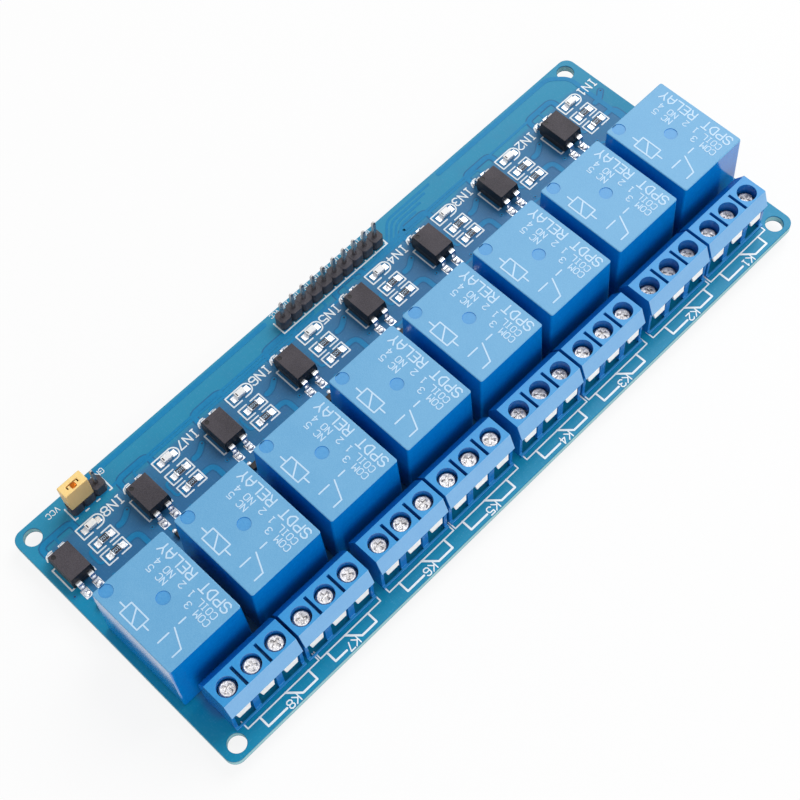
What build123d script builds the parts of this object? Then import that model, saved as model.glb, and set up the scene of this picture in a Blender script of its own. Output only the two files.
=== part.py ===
from build123d import *
import os
from math import atan, degrees

# Eight-channel relay module board, in millimetres.
# X runs along the board, Y from the screw terminals to the pin headers, Z up.
# The origin is the middle of the footprint, on the plane that the soldered tails stand on.

# Circuit board
board_thickness = 1.6
board_corner_radius = 2.0
board_front_margin = 3.75
board_back_margin = 2.05
board_end_margin = 0.9
mount_hole_diameter = 3.3
mount_inset_x = 2.95
mount_inset_y = 2.5

# Soldered tails under the board
tail_length = 2.0
tail_tip_width = 0.8
power_joint_width = 2.4
header_joint_width = 1.6

# Relays, one for each channel
channel_count = 8
relay_length = 19.0
relay_width = 15.4
relay_height = 15.3
relay_draft = 1.1
relay_edge_chamfer = 0.35
relay_side_gap = 1.7
relay_row_shift = -0.45
relay_pin_side_inset = 1.7
relay_contact_pin_inset = 2.5
relay_coil_pin_inset = 4.3
relay_common_pin_inset = 2.3

# Screw terminal blocks, set in pairs along the front
pole_count = 3
well_diameter = 3.5
well_depth = 3.5
well_side_wall = 0.515
pole_slot_width = 0.55
pole_slot_length = 4.0
pole_slot_depth = 2.0
block_pair_gap = 0.56
block_between_room = 1.0
block_end_margin = 4.55
block_row_shift = -0.25
block_relay_gap = 1.35
shoulder_height = 6.5
back_wall_height = 7.3
crown_front_wall = 0.35
crown_back_wall = 0.9
front_slope = 1.15
rib_recess = 0.5
back_slope = 1.75
entry_rib = 1.33
sill_height = 1.3
sill_depth = 0.9
chamber_back_wall = 2.0

# Contact strip and clamp screw in each pole
contact_thickness = 0.45
contact_side_gap = 0.1
contact_foot_length = 3.0
guard_reach = 0.45
guard_drop = 2.7
guard_lean = 0.5
screw_clearance = 0.2
screw_head_sides = 16
screw_slot_width = 0.55
screw_slot_depth = 0.6
# How far the screws of blocks 1 to 8 stand above their contacts
screw_rises = (1.5, 1.3, 1.9, 1.5, 2.4, 2.4, 2.5, 2.6)
screw_turn_step = 47.0

# Input optocouplers
driver_strip = 7.4
opto_shift = -4.9
opto_length = 6.5
opto_width = 4.6
opto_height = 3.3
opto_standoff = 0.2
opto_draft = 0.25
opto_lead_pitch = 2.54
opto_lead_width = 1.1
opto_lead_thickness = 0.25
opto_lead_knee = 0.75
opto_lead_foot = 0.7

# Chips beside each optocoupler, and the driver parts behind each relay
chip_length = 2.0
chip_width = 1.25
resistor_height = 0.55
led_height = 0.9
led_lens_inset = 0.3
chip_shift = 2.2
led_row_shift = 3.75
resistor_row_shifts = (0.3, -2.8)
transistor_length = 2.9
transistor_width = 1.3
transistor_height = 1.0
diode_length = 2.7
diode_width = 1.6
diode_height = 1.1
package_draft = 0.12

# Pin headers and the jumper cap
header_pitch = 2.54
header_width = 2.5
header_height = 2.54
header_notch = 0.45
header_gap = 2.6
pin_side = 0.64
pin_rise = 4.46
input_cells = 10
input_header_shift = 2.71
jumper_cells = 3
jumper_inset_x = 14.03
jumper_row_shift = -0.5
cap_wall = 0.6
cap_end_room = 0.21
cap_roof = 0.6
cap_seat_gap = 0.1
cap_window_length = 2.4
cap_window_width = 0.7
clip_thickness = 0.25
clip_gap = 0.05

# Heights
board_bottom = tail_length
board_top = board_bottom + board_thickness
shoulder_top = board_top + shoulder_height
block_top = shoulder_top + well_depth
header_top = board_top + header_height
pin_tip = header_top + pin_rise

# Terminal block sizes, with depths measured from the screw axis
pole_pitch = well_diameter + 2 * well_side_wall + pole_slot_width
block_length = pole_count * pole_pitch
pair_length = 2 * block_length + block_pair_gap
pair_count = channel_count // 2
crown_front = well_diameter / 2 + crown_front_wall
crown_back = well_diameter / 2 + crown_back_wall
block_front = crown_front + front_slope
block_back = crown_back + back_slope
entry_width = pole_pitch - entry_rib

# Places along the board
channel_pitch = relay_width + relay_side_gap
relay_row_length = channel_count * channel_pitch
block_row_least = pair_count * (pair_length + block_between_room) - block_between_room
board_length = max(relay_row_length + 2 * board_end_margin, block_row_least + 2 * block_end_margin)
# The pairs of blocks are spread evenly over the length between the end margins
pair_pitch = (board_length - 2 * block_end_margin - pair_length) / max(pair_count - 1, 1)
channels = range(1, channel_count + 1)
relay_xs = [relay_row_shift + ((channel_count + 1) / 2 - k) * channel_pitch for k in channels]


def block_x(channel):
    """Middle of a terminal block, counted from the +X end in pairs."""
    pair, second = divmod(channel - 1, 2)
    end = board_length / 2 - block_end_margin + block_row_shift - pair * pair_pitch
    return end - block_length / 2 - second * (block_length + block_pair_gap)


def pole_xs(channel):
    """Screw axes of one block, from +X to -X."""
    return [block_x(channel) + ((pole_count - 1) / 2 - i) * pole_pitch for i in range(pole_count)]


all_pole_xs = [x for k in channels for x in pole_xs(k)]

# Places across the board, from the front edge to the back edge
opto_span = opto_length + 2 * (opto_lead_knee + opto_lead_foot)
board_width = (board_front_margin + block_front + block_back + block_relay_gap + relay_length
               + driver_strip + opto_span + header_gap + header_width + board_back_margin)
screw_y = -board_width / 2 + board_front_margin + block_front
relay_front_y = screw_y + block_back + block_relay_gap
relay_back_y = relay_front_y + relay_length
relay_y = (relay_front_y + relay_back_y) / 2
driver_y = relay_back_y + driver_strip / 2
opto_y = relay_back_y + driver_strip + opto_span / 2
header_y = opto_y + opto_span / 2 + header_gap + header_width / 2

# Header pins
input_xs = [input_header_shift + (i - (input_cells - 1) / 2) * header_pitch for i in range(input_cells)]
jumper_x = -board_length / 2 + jumper_inset_x
jumper_y = header_y + jumper_row_shift
jumper_xs = [jumper_x + (i - (jumper_cells - 1) / 2) * header_pitch for i in range(jumper_cells)]
cap_x = (jumper_xs[0] + jumper_xs[1]) / 2

os.makedirs("parts", exist_ok=True)


def save(piece, name):
    """Label a finished piece and write it as its own file."""
    piece.part.label = name
    export_step(piece.part, f"parts/{name}.step")


def at(places, z):
    """Horizontal planes at height z, one for each (x, y) place."""
    return [Plane.XY.offset(z).move(Location((x, y, 0))) for x, y in places]


def across(xs, width):
    """Upright Y-Z planes from which a strip of the given width is centred on each x."""
    return [Plane.YZ.offset(x - width / 2) for x in xs]


# Board with its corner holes
with BuildPart() as circuit_board:
    with BuildSketch(Plane.XY.offset(board_bottom)):
        RectangleRounded(board_length, board_width, board_corner_radius)
        with GridLocations(board_length - 2 * mount_inset_x, board_width - 2 * mount_inset_y, 2, 2):
            Circle(mount_hole_diameter / 2, mode=Mode.SUBTRACT)
    extrude(amount=board_thickness)
save(circuit_board, "circuit_board")

# Sealed relays, drawn in a little towards the top
for channel, relay_x in zip(channels, relay_xs):
    with BuildPart() as relay:
        with BuildSketch(*at([(relay_x, relay_y)], board_top)):
            Rectangle(relay_width, relay_length)
        extrude(amount=relay_height, taper=relay_draft)
        upright_edges = relay.edges().filter_by(Axis.X, reverse=True).filter_by(Axis.Y, reverse=True)
        chamfer(upright_edges, relay_edge_chamfer)
    save(relay, f"relay_{channel}")


# Terminal housings: a moulding sloped at front and back, with screw wells and open wire chambers
for channel in channels:
    poles = pole_xs(channel)
    with BuildPart() as housing:
        with BuildSketch(*across([block_x(channel)], block_length)):
            with BuildLine():
                Polyline(
                    (screw_y + block_back, board_top),
                    (screw_y + block_back, board_top + back_wall_height),
                    (screw_y + crown_back, block_top),
                    (screw_y - crown_front, block_top),
                    (screw_y - block_front, shoulder_top),
                    (screw_y - block_front + rib_recess, shoulder_top),
                    (screw_y - block_front + rib_recess, board_top + sill_height),
                    (screw_y - block_front, board_top + sill_height),
                    (screw_y - block_front, board_top),
                    close=True,
                )
            make_face()
        extrude(amount=block_length)
        # Chamber and mouth of each wire entry, open below for the contact
        with BuildSketch(*across(poles, entry_width)):
            with BuildLine():
                Polyline(
                    (screw_y - block_front, board_top + sill_height),
                    (screw_y - block_front, shoulder_top),
                    (screw_y + block_back - chamber_back_wall, shoulder_top),
                    (screw_y + block_back - chamber_back_wall, board_top),
                    (screw_y - block_front + sill_depth, board_top),
                    (screw_y - block_front + sill_depth, board_top + sill_height),
                    close=True,
                )
            make_face()
        extrude(amount=entry_width, mode=Mode.SUBTRACT)
        with BuildSketch(*at([(x, screw_y) for x in poles], block_top)):
            Circle(well_diameter / 2)
        extrude(amount=-well_depth, mode=Mode.SUBTRACT)
        with BuildSketch(*at([(block_x(channel), screw_y)], block_top)):
            with GridLocations(pole_pitch, 0, pole_count - 1, 1):
                Rectangle(pole_slot_width, pole_slot_length)
        extrude(amount=-pole_slot_depth, mode=Mode.SUBTRACT)
    save(housing, f"terminal_housing_{channel}")

# Contact strips: foot on the board, back, top plate under the screw and leaning guard leaf in the mouth
contact_width = entry_width - 2 * contact_side_gap
contact_back_y = screw_y + block_back - chamber_back_wall
guard_y = screw_y - block_front + sill_depth - guard_reach / 2
with BuildPart() as terminal_contacts:
    with BuildSketch(*across(all_pole_xs, contact_width)):
        with BuildLine():
            Polyline(
                (guard_y - guard_lean, shoulder_top - guard_drop),
                (guard_y, shoulder_top),
                (contact_back_y, shoulder_top),
                (contact_back_y, board_top),
                (contact_back_y - contact_foot_length, board_top),
                (contact_back_y - contact_foot_length, board_top + contact_thickness),
                (contact_back_y - contact_thickness, board_top + contact_thickness),
                (contact_back_y - contact_thickness, shoulder_top - contact_thickness),
                (guard_y + contact_thickness, shoulder_top - contact_thickness),
                (guard_y - guard_lean + contact_thickness, shoulder_top - guard_drop),
                close=True,
            )
        make_face()
    extrude(amount=contact_width)
save(terminal_contacts, "terminal_contacts")

# Clamp screws, each turned to an angle of its own
screw_diameter = well_diameter - 2 * screw_clearance
for channel, screw_rise in zip(channels, screw_rises):
    for letter, pole_x in zip("abc", pole_xs(channel)):
        turn = screw_turn_step * (channel * pole_count + ord(letter))
        with BuildPart() as screw:
            with BuildSketch(*at([(pole_x, screw_y)], shoulder_top)):
                RegularPolygon(screw_diameter / 2, screw_head_sides)
            extrude(amount=screw_rise)
            with BuildSketch(*at([(pole_x, screw_y)], shoulder_top + screw_rise)):
                Rectangle(2 * screw_diameter, screw_slot_width, rotation=turn)
            extrude(amount=-screw_slot_depth, mode=Mode.SUBTRACT)
        save(screw, f"terminal_screw_{channel}{letter}")

# Optocoupler bodies, drafted above and below the line where the leads come out
opto_xs = [x + opto_shift for x in relay_xs]
opto_seat = board_top + opto_standoff
opto_waist = opto_seat + opto_height / 2
opto_side = opto_length / 2
with BuildPart() as optocoupler_bodies:
    with BuildSketch(*across(opto_xs, opto_width)):
        with BuildLine():
            Polyline(
                (opto_y - opto_side, opto_waist),
                (opto_y - opto_side + opto_draft, opto_seat + opto_height),
                (opto_y + opto_side - opto_draft, opto_seat + opto_height),
                (opto_y + opto_side, opto_waist),
                (opto_y + opto_side - opto_draft, opto_seat),
                (opto_y - opto_side + opto_draft, opto_seat),
                close=True,
            )
        make_face()
    extrude(amount=opto_width)
save(optocoupler_bodies, "optocoupler_bodies")

# Gull-wing leads, two on each side of every optocoupler
lead_xs = [x + side * opto_lead_pitch / 2 for x in opto_xs for side in (-1, 1)]
with BuildPart() as optocoupler_leads:
    for side in (-1, 1):
        root = opto_y + side * opto_side
        knee = root + side * opto_lead_knee
        with BuildSketch(*across(lead_xs, opto_lead_width)):
            with BuildLine():
                Polyline(
                    (root, opto_waist),
                    (knee, opto_waist),
                    (knee + side * opto_lead_foot, board_top + opto_lead_thickness),
                    (knee + side * opto_lead_foot, board_top),
                    (knee, board_top),
                    (root, opto_waist - opto_lead_thickness),
                    close=True,
                )
            make_face()
        extrude(amount=opto_lead_width)
save(optocoupler_leads, "optocoupler_leads")

# Indicator LEDs, with a lens that narrows upwards
chip_xs = [x + chip_shift for x in relay_xs]
lens_taper = degrees(atan(led_lens_inset / led_height))
with BuildPart() as indicator_leds:
    with BuildSketch(*at([(x, opto_y + led_row_shift) for x in chip_xs], board_top)):
        Rectangle(chip_length, chip_width)
    extrude(amount=led_height, taper=lens_taper)
save(indicator_leds, "indicator_leds")

# Chip resistors, two rows
with BuildPart() as chip_resistors:
    with BuildSketch(*at([(x, opto_y + row) for x in chip_xs for row in resistor_row_shifts], board_top)):
        Rectangle(chip_length, chip_width)
    extrude(amount=resistor_height)
save(chip_resistors, "chip_resistors")

# Driver transistors and flyback diodes behind the relays
transistor_taper = degrees(atan(package_draft / transistor_height))
with BuildPart() as driver_transistors:
    with BuildSketch(*at([(x, driver_y) for x in opto_xs], board_top)):
        Rectangle(transistor_length, transistor_width)
    extrude(amount=transistor_height, taper=transistor_taper)
save(driver_transistors, "driver_transistors")

diode_taper = degrees(atan(package_draft / diode_height))
with BuildPart() as flyback_diodes:
    with BuildSketch(*at([(x, driver_y) for x in chip_xs], board_top)):
        Rectangle(diode_length, diode_width)
    extrude(amount=diode_height, taper=diode_taper)
save(flyback_diodes, "flyback_diodes")


# Pin headers: notched insulators with square pins pressed through them
def header(name, xs, y):
    """One row of header cells along X with its pins."""
    with BuildPart() as body:
        with BuildSketch(*at([(sum(xs) / len(xs), y)], board_top)):
            with GridLocations(header_pitch, 0, len(xs), 1):
                cells = Rectangle(header_pitch, header_width)
                chamfer(cells.vertices(), header_notch)
            with GridLocations(header_pitch, 0, len(xs), 1):
                Rectangle(pin_side, pin_side, mode=Mode.SUBTRACT)
        extrude(amount=header_height)
    save(body, f"{name}_body")

    with BuildPart() as pins:
        with BuildSketch(*at([(x, y) for x in xs], board_top)):
            Rectangle(pin_side, pin_side)
        extrude(amount=pin_tip - board_top)
    save(pins, f"{name}_pins")


header("input_header", input_xs, header_y)
header("jumper_header", jumper_xs, jumper_y)

# Jumper cap over the first two jumper pins, with its channel-shaped contact clip
clip_inside = pin_side + 2 * clip_gap
clip_width = clip_inside + 2 * clip_thickness
clip_length = header_pitch + pin_side + 2 * cap_end_room
clip_top = pin_tip + clip_gap + clip_thickness
cap_bottom = header_top + cap_seat_gap
cap_top = clip_top + cap_roof
cap_place = [(cap_x, jumper_y)]
with BuildPart() as jumper_cap:
    with BuildSketch(*at(cap_place, cap_bottom)):
        Rectangle(clip_length + 2 * cap_wall, clip_width + 2 * cap_wall)
    extrude(amount=cap_top - cap_bottom)
    with BuildSketch(*at(cap_place, cap_bottom)):
        Rectangle(clip_length, clip_width)
    extrude(amount=clip_top - cap_bottom, mode=Mode.SUBTRACT)
    with BuildSketch(*at(cap_place, cap_top)):
        Rectangle(cap_window_length, cap_window_width)
    extrude(amount=-cap_roof, mode=Mode.SUBTRACT)
save(jumper_cap, "jumper_cap")

with BuildPart() as jumper_clip:
    with BuildSketch(*across([cap_x], clip_length)):
        with Locations((jumper_y, (cap_bottom + clip_top) / 2)):
            Rectangle(clip_width, clip_top - cap_bottom)
        with Locations((jumper_y, (cap_bottom + clip_top - clip_thickness) / 2)):
            Rectangle(clip_inside, clip_top - clip_thickness - cap_bottom, mode=Mode.SUBTRACT)
    extrude(amount=clip_length)
save(jumper_clip, "jumper_clip")

# Soldered tails under the relays, the terminals and the headers
pin_spread = relay_width / 2 - relay_pin_side_inset
relay_pins = [
    (0, relay_back_y - relay_common_pin_inset),
    (pin_spread, relay_back_y - relay_coil_pin_inset),
    (-pin_spread, relay_back_y - relay_coil_pin_inset),
    (pin_spread, relay_front_y + relay_contact_pin_inset),
    (-pin_spread, relay_front_y + relay_contact_pin_inset),
]
power_places = [(x + dx, y) for x in relay_xs for dx, y in relay_pins] + [(x, screw_y) for x in all_pole_xs]
header_places = [(x, header_y) for x in input_xs] + [(x, jumper_y) for x in jumper_xs]
with BuildPart() as solder_joints:
    for places, width in ((power_places, power_joint_width), (header_places, header_joint_width)):
        near, far = (width - tail_tip_width) / 2, (width + tail_tip_width) / 2
        with Locations(*[(x, y, tail_length / 2) for x, y in places]):
            Wedge(width, tail_length, width, near, near, far, far, rotation=(-90, 0, 0))
save(solder_joints, "solder_joints")
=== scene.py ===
"""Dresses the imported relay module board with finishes, small parts, markings, light and a camera.

Shapes are worked out in millimetres and turned into metres as each piece is placed.
X runs along the board, Y from the screw terminals to the pin headers, Z up.
"""

import logging
import math
from dataclasses import dataclass, field
from enum import Enum
from typing import Iterable, Sequence

import bmesh
import bpy
from mathutils import Matrix, Vector

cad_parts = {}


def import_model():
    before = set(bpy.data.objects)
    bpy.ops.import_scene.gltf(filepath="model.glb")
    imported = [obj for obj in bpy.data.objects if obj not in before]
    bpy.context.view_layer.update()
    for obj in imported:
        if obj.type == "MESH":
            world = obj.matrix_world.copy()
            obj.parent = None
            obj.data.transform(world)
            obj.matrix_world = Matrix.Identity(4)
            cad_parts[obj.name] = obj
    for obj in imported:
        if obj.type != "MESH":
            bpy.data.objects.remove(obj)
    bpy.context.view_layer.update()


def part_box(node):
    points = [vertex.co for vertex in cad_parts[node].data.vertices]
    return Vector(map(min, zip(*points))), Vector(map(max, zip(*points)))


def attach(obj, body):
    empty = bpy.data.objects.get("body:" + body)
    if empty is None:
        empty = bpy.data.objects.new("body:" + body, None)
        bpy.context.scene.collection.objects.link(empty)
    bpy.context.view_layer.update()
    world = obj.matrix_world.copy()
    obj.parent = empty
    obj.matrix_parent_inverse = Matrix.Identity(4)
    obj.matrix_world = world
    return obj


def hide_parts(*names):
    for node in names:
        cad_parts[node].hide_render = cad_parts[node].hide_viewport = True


LOG = logging.getLogger("relay_board")
MM = 0.001
BOARD = "board_assembly"
JUMPER = "jumper"
CHANNELS = range(1, 9)
POLES = "abc"
HEADER_PINS = {"input": 10, "jumper": 3}
WHITE = (1.0, 1.0, 1.0, 1.0)

# Millimetres: pitch of leads and pins, side of a pin, half depth of a chip, how deep lines and
# print are set into what they lie on, and the distance under which two points are one.
PITCH = 2.54
PIN_SIDE = 0.64
CHIP_HALF = 0.625
SEAT = 0.01
CLOSE = 0.001

# Places of a relay's pins round its middle: common, two of the coil and two contacts.
RELAY_PINS = ((0.0, 7.2), (6.0, 5.2), (-6.0, 5.2), (6.0, -7.0), (-6.0, -7.0))

# Lines: sides of a round end, width of a letter's stroke by its height, and how their faces are
# spread in height so that no two lie in one plane.
LINE_SIDES = 8
LETTER_LINE = 0.15
LEVEL_STEP = 0.618
LEVEL_SPREAD = 0.02

# Faces at least this broad, in square millimetres, or this level are shaded flat.
BROAD_FACE = 2.0
LEVEL_FACE = 0.999
SHARP_ANGLE = math.radians(34)

# Parts of a normal that tell tops and sloped brows from walls.
UPWARD = 0.8
BROW_UPWARD = 0.15
BROW_FRONT = -0.6

Colour = tuple[float, float, float, float]
Point = tuple[float, float]
Place = tuple[float, float, float]
Ring = list[bmesh.types.BMEdge]


def tint(red: int, green: int, blue: int) -> Colour:
    """Turns a screen colour into the linear values that a shader takes.

    Args:
        red: Red from 0 to 255.
        green: Green from 0 to 255.
        blue: Blue from 0 to 255.

    Returns:
        Linear red, green, blue and full opacity.
    """
    parts = [value / 255 for value in (red, green, blue)]
    linear = [v / 12.92 if v <= 0.04045 else ((v + 0.055) / 1.055) ** 2.4 for v in parts]
    return (linear[0], linear[1], linear[2], 1.0)


def shift(x: float = 0.0, y: float = 0.0, z: float = 0.0, turn: float = 0.0) -> Matrix:
    """Makes a matrix that turns about Z by degrees and then moves.

    Args:
        x: Move along X.
        y: Move along Y.
        z: Move along Z.
        turn: Turn about Z in degrees, made first.

    Returns:
        The combined matrix.
    """
    return Matrix.Translation((x, y, z)) @ Matrix.Rotation(math.radians(turn), 4, "Z")


def pairs(places: Iterable[Matrix], reach: float, y: float = 0.0) -> list[Matrix]:
    """Gives two places for each one, a reach to either side of it along X."""
    return [place @ shift(x, y) for place in places for x in (-reach, reach)]


def moved(run: Sequence[Point], place: Matrix) -> list[Point]:
    """Moves a flat run of points by a matrix."""
    points = [place @ Vector((x, y, 0)) for x, y in run]
    return [(point.x, point.y) for point in points]


class Flow:
    """One output of a shader node, with arithmetic that adds Math nodes."""

    def __init__(self, graph: "Graph", socket: bpy.types.NodeSocket) -> None:
        """Keeps the graph and the socket."""
        self.graph = graph
        self.socket = socket

    def _math(self, operation: str, first: "Flow | float", second: "Flow | float") -> "Flow":
        """Adds one Math node."""
        return self.graph.node("ShaderNodeMath", {"operation": operation}, {0: first, 1: second})

    def __add__(self, other: "Flow | float") -> "Flow":
        """Adds."""
        return self._math("ADD", self, other)

    def __radd__(self, other: float) -> "Flow":
        """Adds to a number."""
        return self._math("ADD", other, self)

    def __sub__(self, other: "Flow | float") -> "Flow":
        """Subtracts."""
        return self._math("SUBTRACT", self, other)

    def __rsub__(self, other: float) -> "Flow":
        """Subtracts from a number."""
        return self._math("SUBTRACT", other, self)

    def __mul__(self, other: "Flow | float") -> "Flow":
        """Multiplies."""
        return self._math("MULTIPLY", self, other)

    def __rmul__(self, other: float) -> "Flow":
        """Multiplies a number."""
        return self._math("MULTIPLY", other, self)

    def __abs__(self) -> "Flow":
        """Takes the size without the sign."""
        return self._math("ABSOLUTE", self, 0.0)

    def ease(self, low: float, high: float) -> "Flow":
        """Maps a range onto 0 to 1 with soft ends.

        Args:
            low: Value that becomes 0.
            high: Value that becomes 1.

        Returns:
            The eased value.
        """
        settings = {"interpolation_type": "SMOOTHSTEP"}
        return self.graph.node(
            "ShaderNodeMapRange", settings, {"Value": self, "From Min": low, "From Max": high}
        )


class Graph:
    """The node tree of one material or world."""

    def __init__(self, owner: bpy.types.Material | bpy.types.World) -> None:
        """Empties the owner's tree.

        Args:
            owner: The material or world.
        """
        self.owner = owner
        owner.use_nodes = True
        self.tree = owner.node_tree
        self.tree.nodes.clear()

    def node(
        self,
        kind: str,
        settings: dict | None = None,
        inputs: dict | None = None,
        output: int | str = 0,
    ) -> Flow:
        """Adds any node.

        Args:
            kind: Blender's type name of the node.
            settings: Attributes set first, or stops for a colour ramp.
            inputs: Values or flows for its sockets, by name or number.
            output: The output that is handed on.

        Returns:
            That output as a flow.
        """
        made = self.tree.nodes.new(kind)
        for key, value in (settings or {}).items():
            if key == "stops":
                ramp = made.color_ramp
                ramp.elements.remove(ramp.elements[1])
                ramp.elements[0].position, ramp.elements[0].color = value[0]
                for place, colour in value[1:]:
                    ramp.elements.new(place).color = colour
            else:
                setattr(made, key, value)
        for key, value in (inputs or {}).items():
            if isinstance(value, Flow):
                self.tree.links.new(value.socket, made.inputs[key])
            else:
                made.inputs[key].default_value = value
        return Flow(self, made.outputs[output])

    def millimetres(self) -> Flow:
        """Gives the place on the part in millimetres."""
        place = self.node("ShaderNodeTexCoord", output="Object")
        return self.node("ShaderNodeVectorMath", {"operation": "SCALE"}, {0: place, 3: 1 / MM})

    def axes(self, place: Flow) -> tuple[Flow, Flow, Flow]:
        """Splits a vector into its three parts.

        Args:
            place: The vector.

        Returns:
            Its X, Y and Z.
        """
        first = self.node("ShaderNodeSeparateXYZ", inputs={0: place})
        outputs = first.socket.node.outputs
        return first, Flow(self, outputs[1]), Flow(self, outputs[2])

    def stretch(self, place: Flow, amounts: Place) -> Flow:
        """Stretches a pattern along the three axes by the given amounts."""
        return self.node("ShaderNodeVectorMath", {"operation": "MULTIPLY"}, {0: place, 1: amounts})

    def noise(self, place: Flow, size: float, detail: float = 2.0) -> Flow:
        """Adds soft noise.

        Args:
            place: Coordinates in millimetres.
            size: Width of one patch in millimetres.
            detail: Finer layers within it.

        Returns:
            Noise from 0 to 1, mostly near 0.5.
        """
        inputs = {"Vector": place, "Scale": 1 / size, "Detail": detail, "Roughness": 0.55}
        return self.node("ShaderNodeTexNoise", inputs=inputs)

    def blend(self, first: Flow | Colour, second: Flow | Colour, factor: Flow | float) -> Flow:
        """Mixes two colours.

        Args:
            first: Colour at factor 0.
            second: Colour at factor 1.
            factor: Share of the second colour.

        Returns:
            The mixed colour.
        """
        settings = {"data_type": "RGBA", "clamp_factor": True}
        return self.node("ShaderNodeMix", settings, {0: factor, 6: first, 7: second}, output=2)

    def bump(self, height: Flow, depth: float) -> Flow:
        """Turns a height pattern into a normal.

        Args:
            height: Height from 0 to 1.
            depth: Full depth of the pattern in millimetres.

        Returns:
            The bent normal.
        """
        inputs = {"Strength": 1.0, "Distance": depth * MM, "Height": height}
        return self.node("ShaderNodeBump", inputs=inputs)

    def surface(self, inputs: dict) -> bpy.types.Material:
        """Ends the tree in a surface shader.

        Args:
            inputs: Values or flows for the shader's sockets.

        Returns:
            The finished material.
        """
        return self.end(self.node("ShaderNodeBsdfPrincipled", inputs=inputs))

    def seen(self) -> Flow:
        """Tells rays that are seen from rays that light.

        Returns:
            1 for rays from the camera, mirrors and glass, and 0 for the rest.
        """
        camera = self.node("ShaderNodeLightPath", output="Is Camera Ray")
        outputs = camera.socket.node.outputs
        mirror = Flow(self, outputs["Is Glossy Ray"])
        return camera + mirror + Flow(self, outputs["Is Transmission Ray"])

    def end(self, shader: Flow) -> bpy.types.Material | bpy.types.World:
        """Links a shader to the tree's output.

        Args:
            shader: The shader.

        Returns:
            The owner of the tree.
        """
        kind = "World" if isinstance(self.owner, bpy.types.World) else "Material"
        output = self.tree.nodes.new(f"ShaderNodeOutput{kind}")
        self.tree.links.new(shader.socket, output.inputs["Surface"])
        return self.owner


@dataclass(frozen=True)
class Finish:
    """A surface finish that makes its material the first time it is asked for."""

    name: str

    def material(self) -> bpy.types.Material:
        """Gives the material, made once."""
        made = bpy.data.materials.get(self.name)
        return made or self.dress(Graph(bpy.data.materials.new(self.name)))

    def dress(self, graph: Graph) -> bpy.types.Material:
        """Builds the nodes, which each finish does in its own way."""
        raise NotImplementedError


@dataclass(frozen=True)
class Moulding(Finish):
    """Injection-moulded plastic, from polished to spark-eroded."""

    colour: Colour
    bloom: Colour
    roughness: float
    grain: float
    relief: float
    cloud: float = 0.12
    gloss: float = 0.5

    def dress(self, graph: Graph) -> bpy.types.Material:
        """Builds fine grain over slow patches of bloom.

        Args:
            graph: The empty tree.

        Returns:
            The material.
        """
        place = graph.millimetres()
        grain = graph.noise(place, self.grain, 3.0)
        patches = graph.noise(place, 6.0)
        flow_marks = graph.noise(graph.stretch(place, (1.0, 0.18, 1.0)), 1.4)
        haze = grain.ease(0.3, 0.8) * 0.45 + patches.ease(0.35, 0.7) * self.cloud
        base = graph.blend(self.colour, self.bloom, haze + (flow_marks - 0.5) * 0.08)
        rough = (grain - 0.5) * 0.22 + (patches - 0.5) * 0.1 + self.roughness
        return graph.surface(
            {
                "Base Color": base,
                "Roughness": rough,
                "Specular IOR Level": self.gloss,
                "Normal": graph.bump(grain, self.relief),
            }
        )


@dataclass(frozen=True)
class Plating(Finish):
    """Plated or bare metal with drawn streaks, grime and small pits."""

    colour: Colour
    shade: Colour
    roughness: float
    streak: Place = (1.0, 1.0, 1.0)
    relief: float = 0.02

    def dress(self, graph: Graph) -> bpy.types.Material:
        """Builds streaked metal that dulls in patches.

        Args:
            graph: The empty tree.

        Returns:
            The material.
        """
        place = graph.millimetres()
        streaks = graph.noise(graph.stretch(place, self.streak), 0.35, 4.0)
        patches = graph.noise(place, 1.3, 3.0)
        pits = graph.noise(place, 0.12, 2.0)
        tarnish = patches.ease(0.42, 0.75) * 0.5 + pits.ease(0.6, 0.8) * 0.35
        base = graph.blend(self.colour, self.shade, tarnish)
        rough = (streaks - 0.5) * 0.3 + (patches - 0.5) * 0.2 + self.roughness
        normal = graph.bump(streaks * 0.6 + pits * 0.4, self.relief)
        return graph.surface(
            {"Base Color": base, "Metallic": 1.0, "Roughness": rough, "Normal": normal}
        )


@dataclass(frozen=True)
class SolderMask(Finish):
    """Glossy mask, deeper over the copper between the parts, clearer along the edges, and painted
    paler towards the header edge as a painted sheen.
    """

    inner: Colour
    outer: Colour
    half_length: float
    strip: float
    # Pale colour of the weave, the dust specks and the painted sheen.
    dust: Colour = tint(120, 186, 216)
    gloss: float = 0.22

    def dress(self, graph: Graph) -> bpy.types.Material:
        """Builds the mask with glass weave, orange peel, dust, clearer edges and a painted sheen
        towards the header edge.

        Args:
            graph: The empty tree.

        Returns:
            The material.
        """
        place = graph.millimetres()
        x, y, _ = graph.axes(place)
        wander = (graph.noise(place, 5.0) - 0.5) * 1.8
        rows = (abs(y) + wander).ease(self.strip, self.strip + 1.4)
        ends = (abs(x) + wander).ease(self.half_length - 4.4, self.half_length - 2.6)
        patches = graph.noise(place, 7.0, 3.0)
        warp = graph.noise(graph.stretch(place, (3.0, 0.5, 1.0)), 0.5)
        weft = graph.noise(graph.stretch(place, (0.5, 3.0, 1.0)), 0.5)
        weave = warp * weft
        base = graph.blend(self.inner, self.outer, rows + ends + (patches - 0.48) * 0.9)
        specks = graph.noise(place, 0.3, 1.0)
        # Painted sheen: the mask grows paler towards the header edge, a painted reflection of the
        # room.
        haze = y.ease(8.0, 30.0) * 0.14
        pale = weave.ease(0.26, 0.46) * 0.12 + specks.ease(0.74, 0.82) * 0.4 + haze
        base = graph.blend(base, self.dust, pale)
        peel = graph.noise(place, 0.8, 2.0)
        rough = (patches - 0.5) * 0.15 + (peel - 0.5) * 0.1 + 0.34
        return graph.surface(
            {
                "Base Color": base,
                "Roughness": rough,
                "Specular IOR Level": self.gloss,
                "Normal": graph.bump(peel * 0.5 + weave, 0.012),
            }
        )


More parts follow.
